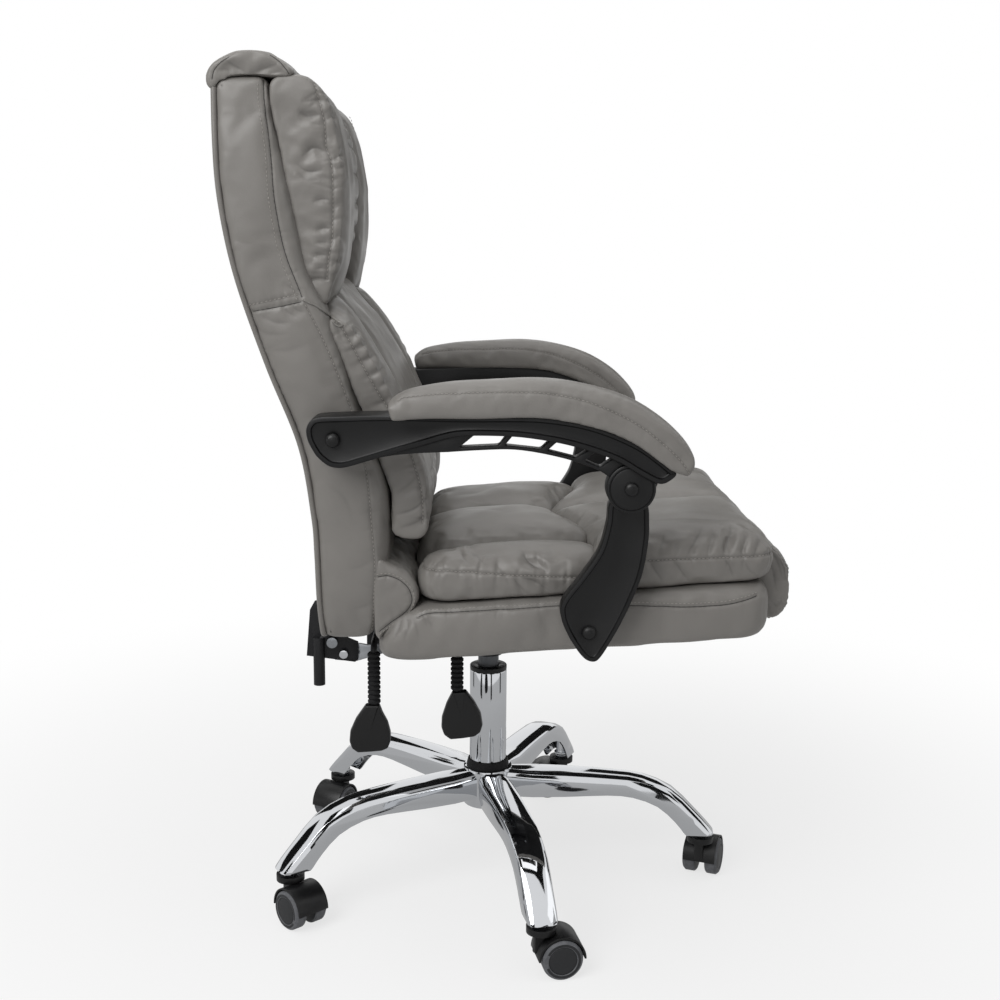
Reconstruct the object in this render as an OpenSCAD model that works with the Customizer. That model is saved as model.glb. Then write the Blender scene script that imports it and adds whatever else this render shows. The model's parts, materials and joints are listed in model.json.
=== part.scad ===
// Executive office chair: five-leg base, gas lift, tufted seat, reclining back and linked arms.
// Millimetres. The origin is on the floor under the column, +Z is up and the sitter faces -Y.
// Side outlines are lists of [forward, up] points that side() turns into place.

/* [Base] */
// Distance from the column axis to each caster stem
leg_reach = 294; // [270:1:330]
// Width of a leg where it meets the hub
leg_root_w = 46; // [38:1:50]
// Width of a leg at its caster
leg_end_w = 37; // [30:1:44]
// Sheet thickness of the pressed legs
leg_wall = 2.5; // [1.5:0.5:4]
// Diameter of the hub ring
hub_d = 66; // [60:1:80]
// Height of the hub ring
hub_h = 52; // [40:1:60]
// Turn of the base under the seat, in degrees
base_turn = -5.7; // [-36:0.1:36]

/* [Casters] */
// Diameter of a caster wheel
wheel_d = 50; // [44:1:60]
// Width of one wheel
wheel_w = 17; // [12:1:22]
// Space between the two wheels of a caster
wheel_gap = 14; // [12:1:20]
// Distance from the caster stem to its axle
trail = 22; // [16:1:28]
// Diameter of the caster stem
stem_d = 11; // [9:1:12]
// Diameter of the wheel axle
axle_d = 8; // [6:0.5:10]

/* [Gas lift] */
// Outer diameter of the chrome column
tube_d = 50; // [46:1:54]
// Length of the chrome column
tube_l = 190; // [170:1:230]
// Diameter of the pressure cylinder
cyl_d = 28; // [26:1:30]
// Bare length of the cylinder above the column at the lowest setting
rest_gap = 16; // [10:1:60]
// Length of the cylinder inside the mechanism socket
socket_l = 54; // [40:1:80]

/* [Seat] */
// Width of the upholstered seat base
seat_w = 510; // [470:1:550]
// Upward tilt of the seat to the front, in degrees
seat_tilt = 4.2; // [0:0.1:8]
// Height of the upholstered seat base
box_h = 66; // [55:1:80]
// Height of the tufted puffs above the seat base
puff_h = 77; // [50:1:90]
// Thickness of the plywood seat and back boards
board_t = 12; // [9:1:15]

/* [Back] */
// Width of the back
back_w = 480; // [450:1:484]
// Height of the back from its lower edge to its crown
back_h = 678; // [640:1:720]
// Thickness of the padded rear panel
panel_t = 8; // [6:1:10]
// Thickness of the steel of the recline hinge
hinge_t = 4; // [3:0.5:5]
// Diameter of the recline hinge pins
pin_d = 8; // [6:1:10]

/* [Arms] */
// Width of an arm pad
pad_w = 62; // [50:1:70]
// Distance from the centre plane to the middle of an arm
arm_x = 300; // [296:1:320]
// Width of the arm rail under its pad
rail_w = 46; // [36:1:56]
// Thickness of an arm strut
strut_t = 24; // [16:1:26]
// Radius of the round joint cover between arm and strut
disc_r = 27.5; // [25:0.5:29]
// Diameter of the arm bolts
arm_bolt_d = 8; // [6:1:10]

/* [Hidden] */
$fn = 48;

// Running and seating clearances
fit = 0.05;
seat_gap = 0.3;

// Heights of the base, from the floor up
wheel_r = wheel_d / 2;
fender_r = wheel_r + 4;
fender_wall = 2.2;
hood_top = wheel_d + 12;
collar_r = 18;
barrel_r = 10;
leg_end_z = hood_top + 4;
hub_z = hood_top + 38;
hub_top = hub_z + hub_h;
leg_top_z = hub_top - 2;
leg_root = tube_d / 2 + 1;
tube_z = hub_z;
tube_wall = 2;
tube_floor = 4;
tube_top = tube_z + tube_l;
bush_lip = 6;
bush_l = 60;
bush_top = tube_top + bush_lip;
socket_z = bush_top + rest_gap;
cyl_top = socket_z + socket_l;
head_room = 20;
seat_z = cyl_top + head_room;
wheel_mid = (wheel_gap + wheel_w) / 2;

// Angles of the legs and of the casters on them, as they stand in the photograph
legs = [for (i = [0:4]) base_turn - 90 + 72 * i];
caster_turns = [-22, 90, 153, -138, -79];

// Gas lift inside the column
rod_d = 10;
cyl_z = tube_z + 28;
cyl_bore = cyl_d - 6;
cyl_foot = 12;
cyl_head = 20;
button_d = 8;
button_out = 6;
piston_z = tube_top - 14;
piston_h = 10;

// Seat frame
tilt_rise = tan(seat_tilt);
plate_t = 4;
plate_w = 270;
plate_front = 80;
plate_rear = -100;
housing_w = 120;
housing_rear = -160;
housing_front = 70;
housing_step = -131;
housing_z = seat_z - 50;
housing_wall = 2.5;
socket_wall = 5;
screw_spots = [[-105, 60], [105, 60], [-85, -95], [85, -95]];
screw_d = 8;

// Levers: side distance of the grips, hinge line and height of each rod
grip_x = -165;
lever_x = -48;
lever_d = 8;
lever_bend = 10;
lever_pin_d = 5;
lift_u = -40;
lift_z = seat_z - 20;
lift_drop = 52;
lock_u = -143;
lock_z = seat_z - 14;
lock_drop = 76;
sleeve_d = 16;
paddle_w = 50;
paddle_h = 63;
paddle_t = 14;

// Recline hinge
hinge_u = -184;
hinge_z = seat_z - 38;
hinge_x = 116;
bracket_x = hinge_x + hinge_t + 1;
strap_w = 40;
bolt_head_h = 5;
bolt_head_d = 16;

// Seat upholstery, in the tilted frame of the seat board
seat_rear = -130;
seat_front = 322;
board_w = seat_w - 80;
puff_z = box_h - 4 + seat_gap;
puff_gap = 1;
puff_split = 108;
puff_front = seat_front - 2;
puff_rear = -80;
puff_half_w = seat_w / 2 - 14;
side_puff_x = puff_half_w - 70;

// Back, from its foot
back_z = seat_z + 8;
board_low = back_z + 20;
board_high = back_z + back_h - 47;
bolt_d = 8;
rear_bolt_z = [back_z + 86, back_z + 166];
rear_bolt_x = bracket_x + strap_w / 2;

// Arm link pivots
seat_pivot = [113, seat_z + 37];
arm_pivot = [154, seat_z + 209.5];
back_pivot = [-177, seat_z + 258];
link_play = 3.2;
back_block_z = [back_pivot[1] - 50, back_pivot[1] + 50];
arm_plate_out = back_w / 2 + 52;
chord_t = 6;
truss_t = 20;
strut_head_d = 32;
strut_x = seat_w / 2 + 9;
disc_x = strut_x + strut_t + 2;
disc_t = 28;
disc_out = disc_x + disc_t;

// Catmull-Rom curve through points
function blend4(a, b, c, d, t) =
    0.5 * (2 * b + (c - a) * t + (2 * a - 5 * b + 4 * c - d) * t * t
        + (3 * b - a - 3 * c + d) * t * t * t);
function curve(p, n) = let (m = len(p) - 1) concat(
    [for (i = [0:m - 1], k = [0:n - 1])
        blend4(p[max(i - 1, 0)], p[i], p[i + 1], p[min(i + 2, m)], k / n)],
    [p[m]]);
function loop(p, n) = let (m = len(p))
    [for (i = [0:m - 1], k = [0:n - 1])
        blend4(p[(i + m - 1) % m], p[i], p[(i + 1) % m], p[(i + 2) % m], k / n)];
function reversed(p) = [for (i = [len(p) - 1:-1:0]) p[i]];
function middle(p) = [for (i = [0:len(p[0]) - 1]) [for (q = p) q[i]] * [for (q = p) 1] / len(p)];

// Rounded plan outline of half widths a and b, clockwise from above
function oval(cx, cy, a, b, n, m) = [for (i = [0:m - 1])
    let (c = cos(360 * i / m), s = -sin(360 * i / m))
    [cx + a * sign(c) * pow(abs(c), 2 / n), cy + b * sign(s) * pow(abs(s), 2 / n)]];

// Closed solid through rings of equal length, with a fan at each end
module skin(rings) {
    n = len(rings[0]);
    m = len(rings);
    points = concat([for (r = rings) each r], [middle(rings[0]), middle(rings[m - 1])]);
    polyhedron(points, concat(
        [for (j = [0:m - 2], i = [0:n - 1]) let (k = (i + 1) % n)
            each [[j * n + i, j * n + k, (j + 1) * n + i], [j * n + k, (j + 1) * n + k, (j + 1) * n + i]]],
        [for (i = [0:n - 1]) [(i + 1) % n, i, n * m]],
        [for (i = [0:n - 1]) [(m - 1) * n + i, (m - 1) * n + (i + 1) % n, n * m + 1]]));
}

// Extrudes a [forward, up] outline from x down to x - w
module side(x, w) {
    translate([x, 0, 0])
        rotate([90, 0, -90])
        linear_extrude(w)
        children();
}

// Same outline on both sides of the chair
module both() {
    children();
    mirror([1, 0, 0]) children();
}

// Frame of the tilted seat board
module tilted() {
    translate([0, 0, seat_z])
        rotate([-seat_tilt, 0, 0])
        children();
}

// Cylinder along X between two side distances, at a [forward, up] point
module cross_rod(p, d, x0, x1) {
    translate([x0, -p[0], p[1]])
        rotate([0, 90, 0])
        cylinder(d = d, h = x1 - x0);
}

// Bolt along X with a domed head that faces -X
module dome_bolt(p, d, x_head, x_end) {
    cross_rod(p, d, x_head, x_end);
    translate([x_head, -p[0], p[1]])
        rotate([0, -90, 0])
        rotate_extrude()
        polygon([[0, 0], [bolt_head_d / 2, 0], [bolt_head_d / 2, 1.5], [bolt_head_d / 2 - 1.5, 3.5],
            [bolt_head_d / 4, bolt_head_h], [0, bolt_head_h]]);
}

// Base and casters

// Top and bottom edge lines of a leg as [outward, up], with the stem between their ends
leg_top = curve([[leg_root, leg_top_z], [leg_reach - 184, leg_top_z], [leg_reach - 123, leg_top_z - 2],
    [leg_reach - 82, leg_top_z - 6], [leg_reach - 42, leg_top_z - 22], [leg_reach - 12, leg_end_z + 34],
    [leg_reach + 9, leg_end_z + 12], [leg_reach + 17, leg_end_z + 2]], 2);
leg_low = curve([[leg_root, leg_top_z - 36], [leg_reach - 185, leg_top_z - 32],
    [leg_reach - 129, leg_top_z - 28], [leg_reach - 94, leg_top_z - 30], [leg_reach - 60, leg_top_z - 42],
    [leg_reach - 36, leg_end_z + 21], [leg_reach - 24, leg_end_z + 6], [leg_reach - 20, leg_end_z + 1.5]], 2);

// Half width of a leg, which narrows inside the hub ring so that the legs clear each other
function leg_half(i) = i == 0 ? leg_root * tan(36) - 1
    : (leg_root_w + (leg_end_w - leg_root_w) * i / (len(leg_top) - 1)) / 2;

// Section of a leg between its top and bottom points, d inside its surface
function leg_ring(i, d) =
    let (t = leg_top[i], b = leg_low[i], n = (b - t) / norm(b - t), w = leg_half(i) - d, c = 9 - d,
        at = function(s, k) let (q = t + n * k) [q[0], s, q[1]])
    [at(-w, norm(b - t)), at(-w, c + d), at(-w + 0.3 * c, 0.3 * c + d), at(-w + c, d),
        at(w - c, d), at(w - 0.3 * c, 0.3 * c + d), at(w, c + d), at(w, norm(b - t))];

// Pressed channel, open below, as one closed solid
module leg_channel() {
    n = 8;
    last = len(leg_top) - 1;
    points = [for (i = [0:last]) each concat(leg_ring(i, 0), leg_ring(i, leg_wall))];
    // Outer, inner and lower faces between stations, then the two ends
    polyhedron(points, concat(
        [for (j = [0:last - 1], i = [0:n - 2]) let (a = 2 * n * j + i, b = a + 2 * n)
            each [[a, a + 1, b], [a + 1, b + 1, b]]],
        [for (j = [0:last - 1], i = [0:n - 2]) let (a = 2 * n * j + n + i, b = a + 2 * n)
            each [[a, b, a + 1], [a + 1, b, b + 1]]],
        [for (j = [0:last - 1]) let (a = 2 * n * j, b = a + 2 * n)
            each [[a, b, a + n], [a + n, b, b + n]]],
        [for (j = [0:last - 1]) let (a = 2 * n * j + n - 1, b = a + 2 * n)
            each [[a, a + n, b], [a + n, b + n, b]]],
        [for (i = [0:n - 2]) each [[i, i + n, i + 1], [i + 1, i + n, i + n + 1]]],
        [for (i = [0:n - 2]) let (a = 2 * n * last + i)
            each [[a, a + 1, a + n], [a + 1, a + n + 1, a + n]]]));
}

// Socket for a caster stem, up into the sheet of the leg
module stem_socket() {
    intersection() {
        skin([for (i = [len(leg_top) - 7:len(leg_top) - 1]) leg_ring(i, leg_wall / 2)]);
        translate([leg_reach, 0, leg_end_z]) {
            cylinder(d = stem_d + 5, h = 30);
            cylinder(d = stem_d + 11, h = 4);
        }
    }
}

module star_base() color("silver") {
    difference() {
        union() {
            translate([0, 0, hub_z]) cylinder(d = hub_d, h = hub_h);
            for (a = legs) rotate(a) {
                leg_channel();
                stem_socket();
            }
        }
        translate([0, 0, hub_z - 10]) cylinder(d = tube_d + 2 * fit, h = hub_h + 20);
        for (a = legs) rotate(a)
            translate([leg_reach, 0, leg_end_z - 5])
            cylinder(d = stem_d + 2 * fit, h = 19);
    }
}

module caster_stems() color("gray") {
    for (a = legs) rotate(a) translate([leg_reach, 0, 0]) {
        translate([0, 0, hood_top - 26]) cylinder(d = stem_d - 2, h = 40);
        translate([0, 0, hood_top + 0.2]) cylinder(d = stem_d + 8, h = 3.7);
        translate([0, 0, hood_top + 3]) cylinder(d = stem_d, h = 14.5);
    }
}

// Places a caster on leg i, with its axle along local +X
module at_caster(i) {
    rotate(legs[i])
        translate([leg_reach, 0, 0])
        rotate(caster_turns[i] - legs[i])
        children();
}

// Disc around the axle, y0 to y1 across
module axle_disc(r, y0, y1) {
    translate([trail, y1, wheel_r])
        rotate([90, 0, 0])
        cylinder(r = r, h = y1 - y0);
}

module hood_part() {
    half = wheel_gap / 2 + wheel_w - 2;
    difference() {
        union() {
            difference() {
                axle_disc(fender_r, -half, half);
                axle_disc(fender_r - fender_wall, -half - 1, -wheel_gap / 2 + 1);
                axle_disc(fender_r - fender_wall, wheel_gap / 2 - 1, half + 1);
                translate([trail - 2 * wheel_d, -wheel_d, -wheel_d])
                    cube([4 * wheel_d, 2 * wheel_d, wheel_d + wheel_r]);
            }
            axle_disc(axle_d / 2 + 4, -wheel_gap / 2 + 1, wheel_gap / 2 - 1);
            translate([0, 0, wheel_r + 4]) intersection() {
                cylinder(r = barrel_r, h = hood_top - wheel_r - 4);
                translate([-barrel_r, -wheel_gap / 2 + 1, 0]) cube([2 * barrel_r, wheel_gap - 2, wheel_d]);
            }
            translate([0, 0, hood_top - 8]) cylinder(r = collar_r, h = 8);
        }
        axle_disc(axle_d / 2, -wheel_gap, wheel_gap);
        translate([0, 0, hood_top - 27]) cylinder(d = stem_d - 2 + 2 * fit, h = 40);
        for (s = [-1, 1]) scale([1, s, 1])
            axle_disc(wheel_r + 1, wheel_gap / 2 - 0.9, half + 2);
    }
}

module caster_hood(i) color("dimgray") at_caster(i) {
    hood_part();
    axle_disc(axle_d / 2, -wheel_mid - 5, wheel_mid + 5);
}

// Wheel profile turned about its axle, from the inner face at 0 to the outer face at wheel_w
module wheel() {
    core_r = wheel_r - 8;
    rotate_extrude($fn = 72)
        polygon([[axle_d / 2 + fit, -0.8], [axle_d / 2 + 4, -0.8], [axle_d / 2 + 4, 0],
            [wheel_r - 2, 0], [wheel_r, 2], [wheel_r, wheel_w - 3], [wheel_r - 3, wheel_w],
            [core_r + 1, wheel_w], [core_r + 0.5, wheel_w - 1], [core_r - 0.5, wheel_w - 1],
            [core_r - 1, wheel_w - 0.4], [0, wheel_w - 0.4], [0, wheel_mid + 5.3 - wheel_gap / 2],
            [axle_d / 2 + fit, wheel_mid + 5.3 - wheel_gap / 2]]);
}

module caster_wheel(i, s) color("black") at_caster(i) {
    translate([trail, s * wheel_gap / 2, wheel_r])
        rotate([-90 * s, 0, 0])
        wheel();
}

// Column and gas lift

module column_collar() color("black") {
    translate([0, 0, hub_top]) rotate_extrude()
        polygon([[tube_d / 2 + fit, 0], [hub_d / 2 - 4, 0], [hub_d / 2 - 4, 3], [tube_d / 2 + 2, 11],
            [tube_d / 2 + fit, 11]]);
}

module column_tube() color("silver") {
    difference() {
        translate([0, 0, tube_z]) cylinder(d = tube_d, h = tube_l);
        translate([0, 0, tube_z + tube_floor]) cylinder(d = tube_d - 2 * tube_wall, h = tube_l);
        translate([0, 0, tube_z - 1]) cylinder(d = rod_d + 2 * fit, h = tube_l);
    }
}

module column_bush() color("black") {
    difference() {
        union() {
            translate([0, 0, tube_top]) cylinder(d = tube_d, h = bush_lip);
            translate([0, 0, tube_top - bush_l]) cylinder(d = tube_d - 2 * tube_wall, h = bush_l);
        }
        translate([0, 0, tube_top - bush_l - 1]) cylinder(d = cyl_d + 2 * fit, h = bush_l + 10);
    }
}

module piston_rod() color("gray") {
    translate([0, 0, tube_z - 5]) cylinder(d = rod_d, h = piston_z - tube_z + 5);
    translate([0, 0, tube_z - 4]) cylinder(d = rod_d + 8, h = 4 - fit);
    translate([0, 0, tube_z + tube_floor + fit]) cylinder(d = rod_d + 16, h = 5);
    translate([0, 0, piston_z]) cylinder(d = cyl_bore - 2 * fit, h = piston_h);
}

module lift_cylinder() color("dimgray") {
    difference() {
        translate([0, 0, cyl_z]) cylinder(d = cyl_d, h = cyl_top - cyl_z);
        translate([0, 0, cyl_z - 1]) cylinder(d = rod_d + 2 * fit, h = cyl_foot + 2);
        translate([0, 0, cyl_z + cyl_foot]) cylinder(d = cyl_bore, h = cyl_top - cyl_z - cyl_foot - cyl_head);
        translate([0, 0, cyl_top - cyl_head + 2]) cylinder(d = button_d + 2 * fit, h = cyl_head);
    }
}

module valve_button() color("silver") {
    translate([0, 0, cyl_top - cyl_head + 6]) cylinder(d = button_d, h = cyl_head - 6 + button_out);
}

// Mechanism under the seat

// Height of the underside of the tilted plate at a forward distance
function plate_low(u) = seat_z + u * tilt_rise - plate_t / cos(seat_tilt);

module housing_outline(inset) {
    polygon([[housing_rear + inset, housing_z + inset], [housing_front - inset, housing_z + inset],
        [housing_front - inset, plate_low(housing_front - inset) + 0.1],
        [plate_rear, plate_low(plate_rear) + 0.1], [plate_rear, plate_low(plate_rear) - seat_gap - inset],
        [housing_step - inset, plate_low(housing_step) - seat_gap - inset],
        [housing_step - inset, lock_z + 8 - inset], [housing_rear + inset, lock_z + 8 - inset]]);
}

module lever_slots(u, z) {
    // Window for the rod, tall enough for its swing
    translate([-housing_w / 2 - 5, -u - lever_d / 2 - 1, z - lever_d / 2 - 1])
        cube([10, lever_d + 2, lever_d + 5]);
    // Bores for the ends of the lever pin
    translate([lever_x, -u, z])
        rotate([90, 0, 0])
        cylinder(d = lever_pin_d + 2 * fit, h = 60, center = true);
}

module lever_lugs(u, z) {
    for (s = [-1, 1])
        translate([lever_x - 5, -u + s * 13 - 2, housing_z + 1])
        cube([10, 4, z - housing_z + 4]);
}

module mechanism_housing() color("dimgray") {
    difference() {
        union() {
            difference() {
                side(housing_w / 2, housing_w) housing_outline(0);
                side(housing_w / 2 - housing_wall, housing_w - 2 * housing_wall)
                    housing_outline(housing_wall);
            }
            tilted() translate([-plate_w / 2, -plate_front, -plate_t])
                cube([plate_w, plate_front - plate_rear, plate_t - fit]);
            translate([0, 0, socket_z]) cylinder(d = cyl_d + 2 * socket_wall, h = socket_l - 6);
            lever_lugs(lift_u, lift_z);
            lever_lugs(lock_u, lock_z - 1);
        }
        translate([0, 0, socket_z - 1]) cylinder(d = cyl_d + 2 * fit, h = socket_l + 1);
        lever_slots(lift_u, lift_z);
        lever_slots(lock_u, lock_z);
        mechanism_screw_holes();
    }
}

module mechanism_screw_holes() {
    tilted() for (p = screw_spots)
        translate([p[0], -p[1], -plate_t - 1])
        cylinder(d = screw_d + 2 * fit, h = plate_t + 2);
}

module mechanism_screws() color("gray") {
    tilted() for (p = screw_spots) translate([p[0], -p[1], 0]) {
        translate([0, 0, -plate_t - bolt_head_h]) cylinder(d = bolt_head_d - 2, h = bolt_head_h);
        translate([0, 0, -plate_t - 1]) cylinder(d = screw_d, h = plate_t + board_t - 1);
    }
}

// Steel arms that carry the recline hinge pins
module hinge_arms() color("silver") both() difference() {
    side(hinge_x + hinge_t, hinge_t)
        polygon([[hinge_u - 12, hinge_z - 10], [hinge_u + 14, hinge_z - 12], [hinge_u + 60, hinge_z + 2],
            [lift_u - 20, plate_low(lift_u - 20) - 14], [lift_u - 20, plate_low(lift_u - 20)],
            [plate_rear, plate_low(plate_rear)], [plate_rear - 4, plate_low(plate_rear) - 14],
            [lock_u - 12, lock_z - 14], [hinge_u + 18, hinge_z + 12], [hinge_u - 12, hinge_z + 12]]);
    cross_rod([hinge_u, hinge_z], pin_d + 2 * fit, hinge_x - 5, hinge_x + 15);
}

// Rod of a lever: tongue inside the housing, straight run, bend and drop into the grip
module lever_rod(u, z, drop) {
    translate([grip_x + lever_bend, -u, z])
        rotate([0, 90, 0])
        cylinder(d = lever_d, h = lever_x - grip_x - lever_bend);
    translate([grip_x + lever_bend, -u, z - lever_bend])
        rotate([90, 0, 0])
        rotate_extrude(angle = 90, start = 90)
        translate([lever_bend, 0])
        circle(d = lever_d);
    translate([grip_x, -u, z - drop - 20])
        cylinder(d = lever_d, h = drop + 20 - lever_bend);
    translate([lever_x, -u, z])
        rotate([90, 0, 0])
        cylinder(d = lever_pin_d, h = 32, center = true);
    translate([lever_x - 6, -u - 8, z - 5]) cube([12, 16, 10]);
}

module lift_lever() color("dimgray") {
    lever_rod(lift_u, lift_z, lift_drop);
    tongue_z = cyl_top + button_out + 0.5;
    translate([lever_x - 4, -lift_u - 8, lift_z + 4]) cube([8, 16, tongue_z - lift_z]);
    translate([lever_x - 4, -5, tongue_z]) cube([4 - lever_x + 5, 13 - lift_u, 4]);
}

module lock_lever() color("dimgray") {
    lever_rod(lock_u, lock_z, lock_drop);
    translate([lever_x, -lock_u - 6, lock_z - 3]) cube([30, 12, 6]);
}

// Ribbed sleeve on the hanging part of a lever
module ribbed_sleeve(u, z, drop) {
    length = drop - lever_bend;
    ribs = floor(length / 6);
    pitch = length / ribs;
    outline = [for (i = [0:ribs - 1]) each [[sleeve_d / 2 - 1.6, i * pitch],
        [sleeve_d / 2, (i + 0.3) * pitch], [sleeve_d / 2, (i + 0.7) * pitch]]];
    ends = [[sleeve_d / 2 - 1.6, length], [lever_d / 2 + fit, length]];
    translate([grip_x, -u, z - drop]) rotate_extrude()
        polygon(concat([[lever_d / 2 + fit, 0]], outline, ends));
}

// Drop-shaped grip, wide near its foot
paddle_outline = loop([[0, 0], [paddle_w * 0.13, -paddle_h * 0.05], [paddle_w * 0.3, -paddle_h * 0.35],
    [paddle_w * 0.49, -paddle_h * 0.66], [paddle_w * 0.34, -paddle_h * 0.93], [0, -paddle_h],
    [-paddle_w * 0.34, -paddle_h * 0.93], [-paddle_w * 0.49, -paddle_h * 0.66],
    [-paddle_w * 0.3, -paddle_h * 0.35], [-paddle_w * 0.13, -paddle_h * 0.05]], 4);

module paddle(u, z) {
    rim = 2.5;
    small = 0.92;
    difference() {
        union() {
            side(grip_x + paddle_t / 2 - rim, paddle_t - 2 * rim)
                translate([u, z]) polygon(paddle_outline);
            side(grip_x + paddle_t / 2, paddle_t)
                translate([u, z - paddle_h * (1 - small) / 2]) scale(small) polygon(paddle_outline);
        }
        translate([grip_x, -u, z - 20 - fit]) cylinder(d = lever_d + 2 * fit, h = 40);
    }
}

module lift_sleeve() color("black") ribbed_sleeve(lift_u, lift_z, lift_drop);
module lock_sleeve() color("black") ribbed_sleeve(lock_u, lock_z, lock_drop);
module lift_paddle() color("black") paddle(lift_u, lift_z - lift_drop);
module lock_paddle() color("black") paddle(lock_u, lock_z - lock_drop);

// Seat

// Outline of the seat base at a height: rear end, front end and half width
function box_ring(z, rear, front, half, n = 5) =
    [for (p = oval(0, -(front + rear) / 2, half, (front - rear) / 2, n, 40)) [p[0], p[1], z]];

module seat_cushion_outer() {
    half = seat_w / 2;
    skin([box_ring(-4, seat_rear + 16, seat_front - 34, half - 12),
        box_ring(4, seat_rear + 2, seat_front - 14, half - 3),
        box_ring(box_h * 0.27, seat_rear - 3, seat_front - 2, half),
        box_ring(box_h * 0.5, seat_rear + 4, seat_front, half + 0.5),
        box_ring(box_h * 0.72, seat_rear + 18, seat_front + 1, half - 1),
        box_ring(box_h * 0.86, seat_rear + 32, seat_front - 6, half - 8),
        box_ring(box_h - 4, seat_rear + 44, seat_front - 24, half - 22)]);
}

module seat_blocks(grow) {
    for (s = [-1, 1])
        translate([s * (board_w / 2 + 8) - 18 - grow, -seat_pivot[0] - 26 - grow, -grow])
        cube([36 + 2 * grow, 52 + 2 * grow, 50 + 2 * grow]);
}

module board_slab(grow, below = 0) {
    translate([-board_w / 2 - grow, -seat_front + 40 - grow, -below])
        cube([board_w + 2 * grow, seat_front - seat_rear - 66 + 2 * grow, board_t + below + grow]);
}

module seat_board() color("burlywood") {
    difference() {
        tilted() {
            board_slab(0);
            seat_blocks(0);
        }
        tilted() for (p = screw_spots)
            translate([p[0], -p[1], -1])
            cylinder(d = screw_d + 2 * fit, h = board_t + 2);
        both() cross_rod(seat_pivot, arm_bolt_d + 2 * fit, board_w / 2 - 30, seat_w / 2);
    }
}

module seat_cushion() color("rosybrown") {
    difference() {
        tilted() difference() {
            seat_cushion_outer();
            board_slab(0.2, box_h);
            seat_blocks(0.2);
        }
        both() cross_rod(seat_pivot, arm_bolt_d + 12, board_w / 2 - 30, seat_w / 2 + 20);
    }
}

// Shares of height and of width up the side of a puff
puff_side = [[0, 0.86], [0.08, 0.95], [0.32, 1], [0.56, 0.97], [0.78, 0.84], [0.93, 0.58], [1, 0.2]];

// Puff between two side distances and two forward distances, h high
module puff(x, u, h, n = 3.2) {
    mid = [x[0] + x[1], -u[0] - u[1]] / 2;
    half = [x[1] - x[0], u[1] - u[0]] / 2;
    tilted() skin([for (s = puff_side)
        [for (p = oval(mid[0], mid[1], half[0] * s[1], half[1] * s[1], n, 24))
            [p[0], p[1], puff_z + h * s[0]]]]);
}

module seat_front_puffs() color("rosybrown") both()
    puff([puff_gap, puff_half_w], [puff_split + puff_gap, puff_front], puff_h);

module seat_rear_puffs() color("rosybrown") both()
    puff([puff_gap, side_puff_x - puff_gap], [puff_rear, puff_split], puff_h - 2);

module seat_side_puffs() color("rosybrown") both()
    puff([side_puff_x + puff_gap, puff_half_w + 6], [puff_rear + 9, puff_split - 1], puff_h - 16, 2.8);

// Roll along X from a [forward, up] outline, drawn in at both ends
roll_stations = [[-1, 0.5], [-0.97, 0.8], [-0.88, 0.95], [-0.6, 1], [0, 1], [0.6, 1], [0.88, 0.95],
    [0.97, 0.8], [1, 0.5]];

module roll(x, half, p) {
    c = middle(p);
    skin([for (s = roll_stations)
        [for (q = p) let (r = c + (q - c) * s[1]) [x + half * s[0], -r[0], r[1]]]]);
}

module seat_front_roll() color("rosybrown") tilted() roll(0, 196, reversed(loop([
    [seat_front + 1.6, 22], [seat_front + 1.6, 58], [seat_front + 1.6, 84], [seat_front + 20, 92],
    [seat_front + 38, 74], [seat_front + 44, 44], [seat_front + 34, 8], [seat_front + 14, -4]], 3)));

// Back

// Height at a share of the back's height
function up(k) = back_z + back_h * k;

// Rear line of the back and front line of its side panels, from the foot to the crown
rear_line = curve([[-200, up(0.012)], [-204, up(0.07)], [-206, up(0.16)], [-209, up(0.226)],
    [-223, up(0.347)], [-258, up(0.481)], [-292, up(0.63)], [-309, up(0.755)], [-314, up(0.86)],
    [-315, up(0.95)]], 4);
front_line = curve([[-142, up(0.012)], [-126, up(0.09)], [-123, up(0.155)], [-122, up(0.258)],
    [-134, up(0.32)], [-153, up(0.404)], [-184, up(0.531)], [-209, up(0.63)], [-227, up(0.798)],
    [-244, up(0.95)]], 4);

// Part of a line between two heights
function part_of(line, z0, z1) = [for (p = line) if (p[1] >= z0 && p[1] <= z1) p];

// Strip that follows the rear line at d0 to d1 in front of it
function strip(z0, z1, d0, d1) = let (p = part_of(rear_line, z0, z1))
    concat([for (q = p) q + [d0, 0]], reversed([for (q = p) q + [d1, 0]]));

// Right edge of the back seen from the front, as [side, up]
function back_edge(w) = curve([[w - 40, up(0)], [w - 8, up(0.02)], [w, up(0.1)], [w, up(0.35)],
    [w - 2, up(0.55)], [w - 12, up(0.8)], [w - 26, up(0.92)], [w - 60, up(0.985)]], 4);

module back_mask() {
    edge = back_edge(back_w / 2);
    translate([0, 400, 0])
        rotate([90, 0, 0])
        linear_extrude(500)
        polygon(concat(edge, reversed([for (p = edge) [-p[0], p[1]]])));
}

module back_board_shape(grow) {
    side(back_w / 2 - 25 + grow, back_w - 50 + 2 * grow)
        polygon(strip(board_low - 10 * grow, board_high + 10 * grow, panel_t - grow / 100,
            panel_t + board_t + grow));
}

module back_blocks(grow) {
    both() side(back_w / 2 - 25 + grow, 36 + 2 * grow)
        translate([back_pivot[0] - 29 - grow, back_block_z[0] - grow])
        square([45 + 2 * grow, back_block_z[1] - back_block_z[0] + 2 * grow]);
}

module back_board() color("burlywood") {
    difference() {
        union() {
            back_board_shape(0);
            back_blocks(0);
        }
        rear_bolt_holes(bolt_d + 2 * fit);
        both() cross_rod(back_pivot, arm_bolt_d + 2 * fit, back_w / 2 - 60, back_w / 2);
    }
}

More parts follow.
